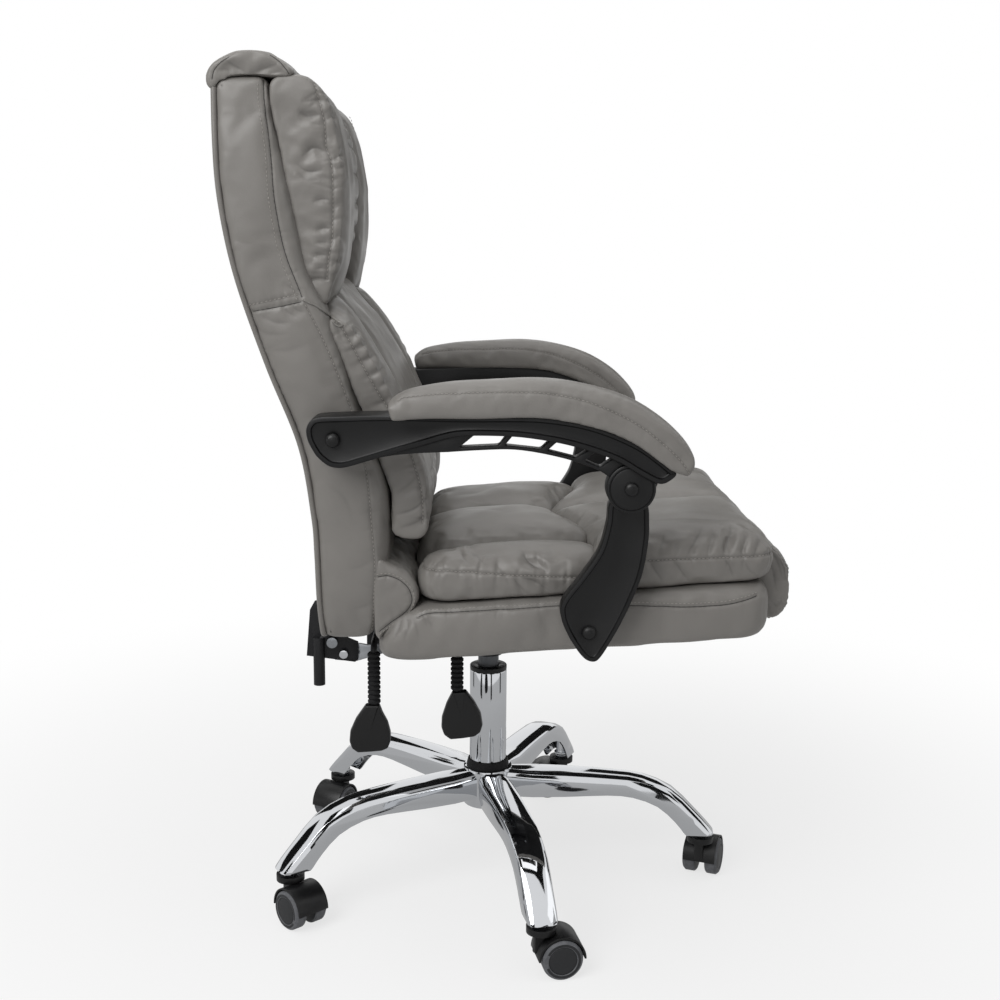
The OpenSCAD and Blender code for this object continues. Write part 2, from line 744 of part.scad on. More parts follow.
module back_cushion() color("rosybrown") {
    difference() {
        intersection() {
            side(back_w / 2, back_w)
                polygon(concat([for (q = rear_line) q + [panel_t, 0]], reversed(front_line)));
            back_mask();
        }
        back_board_shape(0.2);
        back_blocks(0.2);
        strap_shape(0.2);
        rear_bolt_holes(bolt_d + 6);
        both() cross_rod(back_pivot, arm_bolt_d + 4, back_w / 2 - 60, back_w / 2 + 20);
    }
}

module back_rear_panel() color("rosybrown") {
    difference() {
        intersection() {
            side(back_w / 2, back_w)
                polygon(strip(0, up(1), 0, panel_t - 0.05));
            back_mask();
        }
        strap_shape(0.2);
        rear_bolt_holes(bolt_d + 2 * fit);
    }
}

// Crown over the top of the back
module back_top_cap() color("rosybrown") roll(0, back_w / 2 - 24, reversed(loop([
    [-312, up(0.952)], [-313, up(0.968)], [-296, up(0.99)], [-270, up(1)], [-242, up(0.99)],
    [-228, up(0.965)], [-232, up(0.952)], [-272, up(0.9515)]], 3)));

module head_wings() color("rosybrown") both() roll(158, 58, reversed(loop([
    [-242, up(0.94)], [-228, up(0.948)], [-200, up(0.946)], [-184, up(0.925)], [-175, up(0.87)],
    [-166, up(0.8)], [-168, up(0.7)], [-178, up(0.63)], [-204, up(0.62)], [-217, up(0.72)],
    [-226, up(0.8)], [-235, up(0.88)]], 2)));

module head_pillow() color("rosybrown") roll(0, 98, reversed(loop([
    [-240.5, up(0.94)], [-226, up(0.948)], [-198, up(0.941)], [-176, up(0.908)], [-163, up(0.85)],
    [-160, up(0.77)], [-168, up(0.68)], [-184, up(0.615)], [-203, up(0.61)], [-217, up(0.72)],
    [-226, up(0.8)], [-235, up(0.88)]], 2)));

// Shares of the front line behind the pads of the lower back, at a clearance in front of it
pad_rear = [for (p = [[-190, 0.555], [-179, 0.51], [-165, 0.455], [-149, 0.395], [-130, 0.31],
    [-118, 0.258], [-118, 0.2]]) [p[0] + 1.8, up(p[1])]];

module back_centre_pad() color("rosybrown") roll(0, 128, reversed(loop(concat(pad_rear, [
    [-104, up(0.155)], [-88, up(0.165)], [-76, up(0.22)], [-74, up(0.275)], [-92, up(0.38)],
    [-118, up(0.47)], [-145, up(0.54)], [-172, up(0.58)]]), 2)));

module back_side_bolsters() color("rosybrown") both() roll(178, 48, reversed(loop(concat(pad_rear, [
    [-106, up(0.19)], [-96, up(0.2)], [-86, up(0.24)], [-84, up(0.285)], [-100, up(0.38)],
    [-128, up(0.47)], [-153, up(0.53)], [-180, up(0.565)]]), 2)));

module lumbar_roll() color("rosybrown") roll(0, back_w / 2 - 4, reversed(loop([
    [-138, up(0.022)], [-116, up(0.05)], [-96, up(0.08)], [-88, up(0.115)], [-93, up(0.143)],
    [-108, up(0.148)], [-120, up(0.14)], [-124, up(0.09)]], 3)));

// Steel brackets of the back

// Rear line's forward distance at a height
function rear_at(z) = lookup(z, [for (p = rear_line) [p[1], p[0]]]);

module rear_bolt_holes(d) {
    both() for (z = rear_bolt_z)
        translate([rear_bolt_x, -rear_at(z) + 20, z])
        rotate([90, 0, 0])
        cylinder(d = d, h = 60);
}

module strap_shape(grow) {
    line = part_of(rear_line, back_z + 10, rear_bolt_z[1] + 35);
    foot = [rear_at(back_z + 20) + panel_t - fit, back_z - 10 - grow];
    both() side(bracket_x + strap_w + grow, strap_w + 2 * grow)
        polygon(concat([foot, foot - [hinge_t - fit + grow, 0]],
            [for (p = line) p + [panel_t - hinge_t - grow, 0]],
            reversed([for (p = line) p + [panel_t - fit, 0]])));
}

module back_brackets() color("black") {
    difference() {
        union() {
            strap_shape(0);
            both() side(bracket_x + hinge_t, hinge_t)
                translate([hinge_u, hinge_z])
                polygon([[-47, -3], [-42, 57], [-36, 68], [-22, 70], [-21.5, 46], [-9, 40],
                    [6, 20], [18, 15], [18, -8], [14, -11]]);
            both() side(bracket_x + strap_w, strap_w)
                polygon([[hinge_u - 26, hinge_z + 30], [hinge_u - 22, hinge_z + 30],
                    [hinge_u - 8, back_z - 10], [hinge_u - 12, back_z - 10]]);
            both() translate([bracket_x + 6, -hinge_u + 31, hinge_z - 40]) cylinder(d = 14.5, h = 62);
        }
        both() cross_rod([hinge_u, hinge_z], pin_d + 2 * fit, bracket_x - 5, bracket_x + 15);
        rear_bolt_holes(bolt_d + 2 * fit);
    }
}

module hinge_pins() color("silver") both() {
    cross_rod([hinge_u, hinge_z], pin_d, hinge_x - 4, bracket_x + hinge_t + 1);
    cross_rod([hinge_u, hinge_z], pin_d + 5, hinge_x - 6, hinge_x - 2);
    cross_rod([hinge_u, hinge_z], pin_d + 3, bracket_x + hinge_t, bracket_x + hinge_t + 5);
}

module hinge_spacers() color("white") both()
    cross_rod([hinge_u - 14, hinge_z + 16], 14, bracket_x + hinge_t, bracket_x + hinge_t + 8);

module back_bolts() color("black") {
    both() for (z = rear_bolt_z) translate([rear_bolt_x, -rear_at(z), z]) {
        rotate([90, 0, 0]) cylinder(d = bolt_d, h = 24);
        translate([0, 1, 0]) rotate([-90, 0, 0]) cylinder(d = 14, h = bolt_head_h + 2);
        rotate([-90, 0, 0]) cylinder(d = bolt_d, h = 2);
    }
    both() dome_bolt(back_pivot, arm_bolt_d, -arm_plate_out - 0.4, -back_w / 2 + 45);
}

// Arms, drawn for the sitter's right at -X and mirrored to the left

// Plan of the arm, as forward distance against side distance
arm_plan_in = curve([[-216, back_w / 2 + 3], [-120, back_w / 2 + 6], [-40, arm_x - rail_w / 2 - 8],
    [30, arm_x - rail_w / 2], [220, arm_x - rail_w / 2]], 4);
arm_plan_out = curve([[-216, arm_plate_out - 4], [-170, arm_plate_out], [-110, arm_plate_out + 4],
    [-40, arm_x + rail_w / 2 - 6], [30, arm_x + rail_w / 2], [220, arm_x + rail_w / 2]], 4);

module arm_plan() {
    translate([0, 0, seat_z]) linear_extrude(400)
        polygon([for (p = concat(arm_plan_in, reversed(arm_plan_out))) [-p[1], -p[0]]]);
}

// Outlines of the arm, measured from the arm pivot
function at_arm(p) = [for (q = p) arm_pivot + q];

rail_top = curve(at_arm([[-355, 79.5], [-266, 78.5], [-134, 80.5], [-87, 78.5], [-40, 69.5],
    [8, 49.5], [45, 22.5], [51, 17.5]]), 3);
rail_low = curve(at_arm([[-210, 60], [-185, 58.5], [-144, 58.5], [-110, 56], [-66, 48], [-20, 33],
    [8, 17], [31, 6], [43, 11]]), 3);
chord_low = curve(at_arm([[-323, 17.5], [-277, 29.5], [-230, 36.5], [-163, 41.5], [-122, 41.5],
    [-74, 32.5], [-38, 20.5], [-22, 10]]), 3);
plate_end = at_arm([[-335, 19], [-350, 30], [-360, 48], [-363, 62], [-361, 74]]);

// Windows of the truss: rear and front ends of each, along its foot and head
windows = [[-184, -170, -165, -157], [-158, -114, -144, -97], [-108, -86, -92, -74],
    [-79, -58, -64, -46], [-50, -33, -36, -22]];

// Height of a line at a forward distance
function high_of(line, u) = lookup(u, [for (p = line) [p[0], p[1]]]);

module window(w) {
    a = arm_pivot[0];
    foot = [for (k = [0, 1]) [a + w[k], high_of(chord_low, a + w[k]) + chord_t]];
    head = [for (k = [3, 2]) [a + w[k], high_of(rail_low, a + w[k])]];
    polygon(concat(foot, head));
}

module arm_side_outline() {
    polygon(concat(rail_top, reversed(chord_low), plate_end));
}

module arm_frame() color("black") {
    difference() {
        union() {
            // Rail under the pad, with the plate at its rear
            intersection() {
                side(0, 400) difference() {
                    arm_side_outline();
                    polygon(concat(rail_low, [arm_pivot + [43, -60], arm_pivot + [-210, -60]]));
                }
                arm_plan();
            }
            // Truss and front lobe
            intersection() {
                side(-disc_x, truss_t) difference() {
                    arm_side_outline();
                    for (w = windows) window(w);
                }
                translate([-400, -arm_pivot[0] - 60, 0]) cube([400, 300, 1200]);
            }
            cross_rod(arm_pivot, 2 * disc_r, -disc_out, -disc_x);
            cross_rod(arm_pivot, 2 * disc_r - 8, -disc_out - 1.2, -disc_out);
        }
        // Hollow behind the rear plate
        side(-back_w / 2 + 5, arm_plate_out - back_w / 2 - 1)
            polygon(at_arm([[-330, 28], [-351, 46], [-354, 66], [-276, 67], [-276, 40]]));
        cross_rod(back_pivot, arm_bolt_d + 2 * link_play, -400, -200);
        cross_rod(arm_pivot, arm_bolt_d + 2 * fit, -400, -200);
    }
}

module arm_pad() color("rosybrown") {
    bottom = [for (u = [-272, -214, -154, -94, -44, 6, 46])
        [arm_pivot[0] + u, high_of(rail_top, arm_pivot[0] + u) + seat_gap + 1]];
    top = at_arm([[-278, 94], [-242, 109], [-182, 115], [-106, 118.5], [-51, 112.5], [-3, 97.5],
        [34, 75.5], [59, 51.5], [70, 29.5], [64, 18]]);
    p = loop(concat(bottom, reversed(top)), 2);
    c = middle(p);
    half = pad_w / 2;
    stations = [[-1, 0.45], [-0.93, 0.72], [-0.75, 0.9], [-0.4, 0.98], [0, 1], [0.4, 0.98], [0.75, 0.9],
        [0.93, 0.72], [1, 0.45]];
    skin([for (s = stations) [for (q = reversed(p))
        let (u = c[0] + (q[0] - c[0]) * (0.96 + 0.04 * s[1]),
            foot = high_of(rail_top, min(q[0], arm_pivot[0] + 51)) + seat_gap)
        [-arm_x + half * s[0], -u, foot + (q[1] - foot) * s[1]]]]);
}

// Strut outline, measured from the seat pivot
strut_outline = loop([for (p = [[18, 128], [10, 97], [-8, 68], [-30, 38], [-33, 20], [-24, -4],
    [-8, -28], [4, -35], [14, -29], [34, 6], [50, 42], [60, 72], [65, 106], [65.5, 128], [62, 152],
    [41, 172], [21, 152]]) seat_pivot + p], 3);

module arm_strut() color("black") {
    difference() {
        union() {
            side(-strut_x, strut_t) polygon(strut_outline);
            cross_rod(arm_pivot, strut_head_d, -strut_x - strut_t, -strut_x);
        }
        // Panel sunk into the outer face
        side(-strut_x - strut_t + 3, 10) translate(seat_pivot) scale([0.72, 0.8]) translate(-seat_pivot)
            intersection() {
                polygon(strut_outline);
                translate(seat_pivot + [-60, 16]) square([160, 120]);
            }
        cross_rod(seat_pivot, arm_bolt_d + 2 * fit, -400, -200);
        cross_rod(arm_pivot, arm_bolt_d + 2 * fit, -400, -200);
    }
}

module arm_pivot_bolt() color("dimgray") {
    dome_bolt(arm_pivot, arm_bolt_d, -disc_out - 1.2, -strut_x + 2);
    cross_rod(arm_pivot, arm_bolt_d + 5, -strut_x + 0.3, -strut_x + 5);
}

module strut_bolts() color("dimgray") both() {
    dome_bolt(seat_pivot, arm_bolt_d, -strut_x - strut_t - 0.3, -board_w / 2 + 20);
    cross_rod(seat_pivot, arm_bolt_d + 11, -strut_x + seat_gap, -board_w / 2 - 26.5);
}

module arm_frame_right() arm_frame();
module arm_pad_right() arm_pad();
module arm_strut_right() arm_strut();
module arm_pivot_right() arm_pivot_bolt();
module arm_frame_left() mirror([1, 0, 0]) arm_frame();
module arm_pad_left() mirror([1, 0, 0]) arm_pad();
module arm_strut_left() mirror([1, 0, 0]) arm_strut();
module arm_pivot_left() mirror([1, 0, 0]) arm_pivot_bolt();

star_base();
caster_stems();
column_collar();
column_tube();
column_bush();
piston_rod();
caster_hood(0);  // caster_hood_1
caster_hood(1);  // caster_hood_2
caster_hood(2);  // caster_hood_3
caster_hood(3);  // caster_hood_4
caster_hood(4);  // caster_hood_5
caster_wheel(0, 1);  // wheel_1_outer
caster_wheel(1, 1);  // wheel_2_outer
caster_wheel(2, 1);  // wheel_3_outer
caster_wheel(3, 1);  // wheel_4_outer
caster_wheel(4, 1);  // wheel_5_outer
caster_wheel(0, -1);  // wheel_1_inner
caster_wheel(1, -1);  // wheel_2_inner
caster_wheel(2, -1);  // wheel_3_inner
caster_wheel(3, -1);  // wheel_4_inner
caster_wheel(4, -1);  // wheel_5_inner
lift_cylinder();
valve_button();
mechanism_housing();
mechanism_screws();
hinge_arms();
lift_lever();
lift_sleeve();
lift_paddle();
lock_lever();
lock_sleeve();
lock_paddle();
seat_board();
seat_cushion();
seat_front_puffs();
seat_rear_puffs();
seat_side_puffs();
seat_front_roll();
strut_bolts();
back_brackets();
hinge_pins();
hinge_spacers();
back_board();
back_cushion();
back_rear_panel();
back_top_cap();
head_wings();
head_pillow();
back_centre_pad();
back_side_bolsters();
lumbar_roll();
back_bolts();
arm_frame_right();
arm_pad_right();
arm_strut_right();
arm_pivot_right();
arm_frame_left();
arm_pad_left();
arm_strut_left();
arm_pivot_left();
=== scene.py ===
"""Executive office chair: padded back, seat and arms on a five-legged base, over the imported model."""

import json
import math

import bmesh
import bpy
import numpy as np
from mathutils import Matrix, Vector
from mathutils.bvhtree import BVHTree
from mathutils.geometry import delaunay_2d_cdt
from mathutils.kdtree import KDTree

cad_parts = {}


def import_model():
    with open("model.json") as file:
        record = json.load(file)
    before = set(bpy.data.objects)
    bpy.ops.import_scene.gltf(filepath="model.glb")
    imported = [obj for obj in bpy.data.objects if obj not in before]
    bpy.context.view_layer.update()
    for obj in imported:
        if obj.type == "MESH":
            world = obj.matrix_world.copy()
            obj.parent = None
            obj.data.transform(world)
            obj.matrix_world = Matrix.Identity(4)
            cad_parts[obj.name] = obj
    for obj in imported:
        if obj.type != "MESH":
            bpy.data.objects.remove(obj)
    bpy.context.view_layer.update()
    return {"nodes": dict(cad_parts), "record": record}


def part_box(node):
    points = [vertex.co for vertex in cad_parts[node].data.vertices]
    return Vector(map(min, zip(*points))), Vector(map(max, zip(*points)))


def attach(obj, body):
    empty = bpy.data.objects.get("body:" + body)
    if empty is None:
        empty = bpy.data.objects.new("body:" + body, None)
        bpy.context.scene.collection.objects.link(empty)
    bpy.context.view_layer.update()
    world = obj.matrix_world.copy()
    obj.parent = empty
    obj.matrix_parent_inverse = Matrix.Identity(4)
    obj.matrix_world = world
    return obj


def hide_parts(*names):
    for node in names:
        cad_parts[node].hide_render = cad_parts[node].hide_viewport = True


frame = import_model()

bl_info = {
    "name": "Executive Office Chair",
    "version": (1, 0, 0),
    "blender": (4, 5, 0),
    "location": "3D View > Sidebar > Chair",
    "description": "Builds the upholstery, frame and studio of an executive office chair",
    "category": "Object",
}


def linear(text):
    """Linear colour of an sRGB hex value."""
    shares = [int(text[i:i + 2], 16) / 255 for i in (1, 3, 5)]
    return [s / 12.92 if s <= 0.04045 else ((s + 0.055) / 1.055) ** 2.4 for s in shares]


# Settings that a user would change


class UpholsterySettings(bpy.types.PropertyGroup):
    """Leather, filling and sewing of the padded pieces."""

    colour: bpy.props.FloatVectorProperty(
        name="Leather colour", description="Colour of the coated leather", subtype="COLOR",
        size=3, min=0, max=1, default=linear("#7e7b77"))
    grain: bpy.props.FloatProperty(
        name="Grain", description="Width of one cell of the embossed grain", unit="LENGTH",
        min=0.0005, max=0.005, default=0.0015)
    pressure: bpy.props.FloatProperty(
        name="Filling pressure", description="Pressure of the filling on the cover", min=0, max=20,
        default=4)
    pitch: bpy.props.FloatProperty(
        name="Stitch pitch", description="Distance from one stitch to the next", unit="LENGTH",
        min=0.002, max=0.02, default=0.0048)
    thread: bpy.props.FloatProperty(
        name="Thread", description="Thickness of the sewing thread", unit="LENGTH",
        min=0.0003, max=0.003, default=0.0009)


class FrameSettings(bpy.types.PropertyGroup):
    """Plastic and metal of the frame."""

    plastic: bpy.props.FloatVectorProperty(
        name="Plastic colour", description="Colour of the moulded arms and casters", subtype="COLOR",
        size=3, min=0, max=1, default=linear("#09090a"))
    edge: bpy.props.FloatProperty(
        name="Edge radius", description="Rounding of the moulded and pressed edges", unit="LENGTH",
        min=0, max=0.003, default=0.001)
    polish: bpy.props.FloatProperty(
        name="Chrome roughness", description="Roughness of the plated steel", min=0, max=0.5,
        default=0.045)


class StudioSettings(bpy.types.PropertyGroup):
    """Lamps of the studio."""

    key: bpy.props.FloatProperty(
        name="Key lamp", description="Power of the large lamp behind the right side", unit="POWER",
        min=0, max=2000, default=60)
    fill: bpy.props.FloatProperty(
        name="Fill", description="Strength of the even light from all round", min=0, max=3,
        default=0.27)


# Frame of the chair: millimetres as side, forward and up, with the sitter facing forward

TILT = math.radians(4.2)
SEAT_Z = 386.0
BACK_Z = SEAT_Z + 8
BACK_H = 678.0
# Middle of the joint of arm and strut, and of the strut's lower joint, as forward and up
ARM = np.array([154.0, 595.5])
STRUT = np.array([113.0, 423.0])


def world(points):
    """Row frame points in metres from side, forward and up in millimetres."""
    p = np.asarray(points, float)
    return np.stack([p[..., 0], -p[..., 1], p[..., 2]], -1) / 1000


def chair(points):
    """Side, forward and up in millimetres from row frame points in metres."""
    p = np.asarray(points, float) * 1000
    return np.stack([p[..., 0], -p[..., 1], p[..., 2]], -1)


def tilted(points):
    """Moves points from the frame of the tilted seat board into the chair's frame."""
    p = np.asarray(points, float)
    c, s = math.cos(TILT), math.sin(TILT)
    return np.stack([p[..., 0], p[..., 1] * c - p[..., 2] * s,
                     SEAT_Z + p[..., 1] * s + p[..., 2] * c], -1)


def untilted(points):
    """Moves points from the chair's frame into the frame of the tilted seat board."""
    p = np.asarray(points, float)
    c, s = math.cos(TILT), math.sin(TILT)
    z = p[..., 2] - SEAT_Z
    return np.stack([p[..., 0], p[..., 1] * c + z * s, -p[..., 1] * s + z * c], -1)


def up(share):
    """Height at a share of the back's height."""
    return BACK_Z + BACK_H * share


# Camera at the photograph's place

CAMERA_AT = (-1.8357, 0.0141, 0.8663)
CAMERA_YAW, CAMERA_PITCH, CAMERA_ROLL = 0.0153, 0.1847, 0.008
CAMERA_LENS = 50.46
SENSOR = 36
PHOTO_SIZE = 1000


def camera_axes():
    """Forward, right and upward directions of the camera."""
    cos_y, sin_y = math.cos(CAMERA_YAW), math.sin(CAMERA_YAW)
    cos_p, sin_p = math.cos(CAMERA_PITCH), math.sin(CAMERA_PITCH)
    forward = Vector((cos_y * cos_p, -sin_y * cos_p, -sin_p))
    level = Vector((-sin_y, -cos_y, 0))
    right = level * math.cos(CAMERA_ROLL) + level.cross(forward) * math.sin(CAMERA_ROLL)
    return forward, right, right.cross(forward)


# Lines and meshes


def spline(points, steps, closed=False):
    """Smooth line through points, with that many steps between two of them."""
    p = np.asarray(points, float)
    n = len(p)
    t = np.linspace(0, 1, steps, endpoint=False)[:, None]
    rows = []
    for i in range(n if closed else n - 1):
        if closed:
            a, b, c, d = (p[(i + k) % n] for k in (-1, 0, 1, 2))
        else:
            a, b, c, d = p[max(i - 1, 0)], p[i], p[i + 1], p[min(i + 2, n - 1)]
        rows.append(0.5 * (2 * b + (c - a) * t + (2 * a - 5 * b + 4 * c - d) * t * t
                           + (3 * b - a - 3 * c + d) * t ** 3))
    if not closed:
        rows.append(p[-1:])
    return np.vstack(rows)


def even(line, count, closed=False):
    """A line with points the same distance apart."""
    p = np.asarray(line, float)
    if closed:
        p = np.vstack([p, p[:1]])
    run = np.concatenate([[0], np.cumsum(np.linalg.norm(np.diff(p, axis=0), axis=1))])
    at = np.linspace(0, run[-1], count, endpoint=not closed)
    return np.stack([np.interp(at, run, p[:, k]) for k in range(p.shape[1])], -1)


def spaced(line, step):
    """A line with points about that step apart."""
    p = np.asarray(line, float)
    length = np.linalg.norm(np.diff(p, axis=0), axis=1).sum()
    return even(p, max(int(length / step) + 1, 3))


def rounded(cx, cy, a, b, r, count):
    """Rectangle of half widths a and b with corners of radius r, as evenly spaced points."""
    t = np.linspace(0, math.pi / 2, 12)
    points = []
    for k, (sx, sy) in enumerate(((1, 1), (-1, 1), (-1, -1), (1, -1))):
        turn = t + k * math.pi / 2
        points.append(np.stack([cx + sx * (a - r) + r * np.cos(turn),
                                cy + sy * (b - r) + r * np.sin(turn)], -1))
    return even(np.vstack(points), count, closed=True)


def link(name, mesh):
    obj = bpy.data.objects.new(name, mesh)
    bpy.context.scene.collection.objects.link(obj)
    return obj


def outward(mesh):
    """Points the faces of a closed mesh outwards and shades them smooth."""
    bm = bmesh.new()
    bm.from_mesh(mesh)
    bmesh.ops.recalc_face_normals(bm, faces=bm.faces)
    for face in bm.faces:
        face.smooth = True
    bm.to_mesh(mesh)
    bm.free()
    return mesh


def mesh_object(name, points, faces):
    """Object from points in millimetres and their faces."""
    mesh = bpy.data.meshes.new(name)
    mesh.from_pydata(world(points).tolist(), [], faces)
    mesh.update()
    return link(name, outward(mesh))


def ring_faces(m, n, ends=True):
    faces = [(j * n + i, j * n + (i + 1) % n, (j + 1) * n + (i + 1) % n, (j + 1) * n + i)
             for j in range(m - 1) for i in range(n)]
    if ends:
        faces += [((i + 1) % n, i, n * m) for i in range(n)]
        faces += [((m - 1) * n + i, (m - 1) * n + (i + 1) % n, n * m + 1) for i in range(n)]
    return faces


def skin(name, rings, ribbon=False):
    """Closed mesh through rings of equal length, with a fan at each end, or a ribbon on bent rings."""
    r = np.asarray(rings, float)
    m, n = r.shape[:2]
    if ribbon:
        faces = ring_faces(m, n, ends=False)
        for start in (0, (m - 1) * n):
            faces += [(start + i, start + i + 1, start + n - 2 - i, start + n - 1 - i)
                      for i in range(n // 2 - 1)]
        return mesh_object(name, r.reshape(-1, 3), faces)
    points = np.vstack([r.reshape(-1, 3), r[0].mean(0), r[-1].mean(0)])
    return mesh_object(name, points, ring_faces(m, n))


def evaluated_mesh(obj):
    """New mesh of an object as its modifiers leave it."""
    bpy.context.view_layer.update()
    graph = bpy.context.evaluated_depsgraph_get()
    return bpy.data.meshes.new_from_object(obj.evaluated_get(graph), depsgraph=graph)


def applied(obj):
    """Makes an object's modifiers part of its mesh."""
    mesh = evaluated_mesh(obj)
    old = obj.data
    obj.modifiers.clear()
    obj.data = mesh
    bpy.data.meshes.remove(old)
    mesh.name = obj.name
    return obj


def coordinates(obj):
    co = np.empty(len(obj.data.vertices) * 3, np.float32)
    obj.data.vertices.foreach_get("co", co)
    return co.reshape(-1, 3).astype(float)


def set_coordinates(obj, co):
    obj.data.vertices.foreach_set("co", np.asarray(co, np.float32).ravel())
    obj.data.update()


def normals(obj):
    n = np.empty(len(obj.data.vertices) * 3, np.float32)
    obj.data.vertex_normals.foreach_get("vector", n)
    return n.reshape(-1, 3).astype(float)


def joined(name, objs):
    """One object from several, which are removed."""
    bm = bmesh.new()
    for obj in objs:
        bm.from_mesh(obj.data)
    mesh = bpy.data.meshes.new(name)
    bm.to_mesh(mesh)
    bm.free()
    for source in objs[0].data.materials:
        mesh.materials.append(source)
    for obj in objs:
        bpy.data.objects.remove(obj)
    return link(name, mesh)


def mirrored(obj, name):
    """Copy of an object on the other side of the chair."""
    mesh = obj.data.copy()
    mesh.transform(Matrix.Scale(-1, 4, (1, 0, 0)))
    mesh.flip_normals()
    mesh.name = name
    return link(name, mesh)


# Materials


def add(tree, kind, inputs=None, **settings):
    """Adds a node with its settings, and sets or links its inputs."""
    made = tree.nodes.new(kind)
    for name, value in settings.items():
        setattr(made, name, value)
    for key, value in (inputs or {}).items():
        if isinstance(value, bpy.types.NodeSocket):
            tree.links.new(value, made.inputs[key])
        else:
            made.inputs[key].default_value = value
    return made


def started(name, colour, roughness, **sockets):
    """A material with its shader; returns it, its tree, the shader and the object coordinates."""
    made = bpy.data.materials.new(name)
    made.use_nodes = True
    tree = made.node_tree
    tree.nodes.clear()
    shader = add(tree, "ShaderNodeBsdfPrincipled", {
        "Base Color": (*colour, 1), "Roughness": roughness,
        **{key.replace("_", " "): value for key, value in sockets.items()}})
    add(tree, "ShaderNodeOutputMaterial", {"Surface": shader.outputs["BSDF"]})
    return made, tree, shader, add(tree, "ShaderNodeTexCoord").outputs["Object"]


def noise(tree, coords, millimetres, detail=2.0, roughness=0.5):
    """Noise whose lumps are about that wide."""
    return add(tree, "ShaderNodeTexNoise", {
        "Vector": coords, "Scale": 1000 / millimetres, "Detail": detail,
        "Roughness": roughness}).outputs["Fac"]


def spread(tree, value, low, high):
    """Maps a value of 0.3 to 0.7 to low to high."""
    return add(tree, "ShaderNodeMapRange", {
        "Value": value, "From Min": 0.3, "From Max": 0.7, "To Min": low, "To Max": high}).outputs[0]


def mixed(tree, share, a, b):
    """Blend of two colours by a share."""
    node = add(tree, "ShaderNodeMix", data_type="RGBA")
    tree.links.new(share, node.inputs[0])
    for index, value in ((6, a), (7, b)):
        if isinstance(value, bpy.types.NodeSocket):
            tree.links.new(value, node.inputs[index])
        else:
            node.inputs[index].default_value = (*value, 1)
    return node.outputs[2]


def bumped(tree, shader, layers):
    """Chains bump layers of (height, distance in millimetres, strength) into the shader."""
    last = None
    for height, distance, strength in layers:
        inputs = {"Height": height, "Distance": distance / 1000, "Strength": strength}
        if last is not None:
            inputs["Normal"] = last
        last = add(tree, "ShaderNodeBump", inputs).outputs[0]
    tree.links.new(last, shader.inputs["Normal"])


def shaded(colour, factor):
    return [min(1.0, c * factor) for c in colour]


def clouded(tree, shader, lumps, low, high):
    """Lets the colour drift between two shades with a noise."""
    tree.links.new(mixed(tree, spread(tree, lumps, 0, 1), low, high), shader.inputs["Base Color"])


def coated_leather():
    """Polyurethane coated split leather, embossed and semi-matt: fine pebbled grain, soft highlight, and
    painted shade where it is gathered into a seam or fold."""
    settings = bpy.context.scene.chair_upholstery
    base = list(settings.colour)
    made, tree, shader, coords = started("coated_leather", base, 0.4, Specular_IOR_Level=0.45)
    patches = mixed(tree, spread(tree, noise(tree, coords, 85, 3), 0, 1),
                    shaded(base, 0.95), shaded(base, 1.05))
    # Painted shade: the colour darkens towards 0.42 of itself by the crease shade that seams and folds note
    fold = add(tree, "ShaderNodeAttribute", attribute_name="crease").outputs["Fac"]
    colour = mixed(tree, fold, patches, shaded(base, 0.42))
    tree.links.new(colour, shader.inputs["Base Color"])
    cells = add(tree, "ShaderNodeTexVoronoi", {
        "Vector": coords, "Scale": 1 / settings.grain, "Randomness": 0.9}, feature="F1").outputs["Distance"]
    tree.links.new(spread(tree, noise(tree, coords, 30, 2), 0.36, 0.46), shader.inputs["Roughness"])
    bumped(tree, shader, [(noise(tree, coords, 38, 2), 1.0, 0.35), (noise(tree, coords, 9, 2), 0.16, 0.4),
                          (cells, 0.09, 0.6)])
    return made


def moulded_nylon(name="moulded_nylon", colour=None, roughness=0.4):
    """Glass-filled nylon from a spark-eroded mould: black, with a fine matt texture and a broad sheen."""
    base = list(colour or bpy.context.scene.chair_frame.plastic)
    made, tree, shader, coords = started(name, base, roughness, Specular_IOR_Level=0.42)
    clouded(tree, shader, noise(tree, coords, 40), shaded(base, 0.93), shaded(base, 1.1))
    tree.links.new(spread(tree, noise(tree, coords, 25), roughness - 0.05, roughness + 0.06),
                   shader.inputs["Roughness"])
    bumped(tree, shader, [(noise(tree, coords, 1.1, 2), 0.06, 0.5)])
    return made


def chrome_plate():
    """Chromium plated steel tube and sheet: mirror finish with the slight wave of pressed sheet."""
    polish = bpy.context.scene.chair_frame.polish
    made, tree, shader, coords = started("chrome_plate", linear("#cfd1d4"), polish, Metallic=1.0)
    low, high = round(polish - 0.015, 6), round(polish + 0.03, 6)
    tree.links.new(spread(tree, noise(tree, coords, 14, 3), low, high), shader.inputs["Roughness"])
    bumped(tree, shader, [(noise(tree, coords, 55, 1), 0.5, 0.25)])
    return made


def painted_steel(name="painted_steel", text="#1b1b1d", roughness=0.42):
    """Powder coated steel: thin even coat with a faint orange-peel wave."""
    base = linear(text)
    made, tree, shader, coords = started(name, base, roughness, Specular_IOR_Level=0.3)
    clouded(tree, shader, noise(tree, coords, 30), shaded(base, 0.9), shaded(base, 1.12))
    bumped(tree, shader, [(noise(tree, coords, 1.6, 1), 0.08, 0.6)])
    return made


def plated_steel(name="zinc_plate", text="#b9bcc0", roughness=0.28):
    """Zinc plated or ground steel: metallic with a fine brushed grain and cloudy plating."""
    base = linear(text)
    made, tree, shader, coords = started(name, base, roughness, Metallic=1.0)
    clouded(tree, shader, noise(tree, coords, 12, 3), shaded(base, 0.82), base)
    along = add(tree, "ShaderNodeMapping", {"Vector": coords, "Scale": (0.08, 1, 1)}).outputs[0]
    bumped(tree, shader, [(noise(tree, along, 0.5, 2), 0.03, 0.5)])
    return made


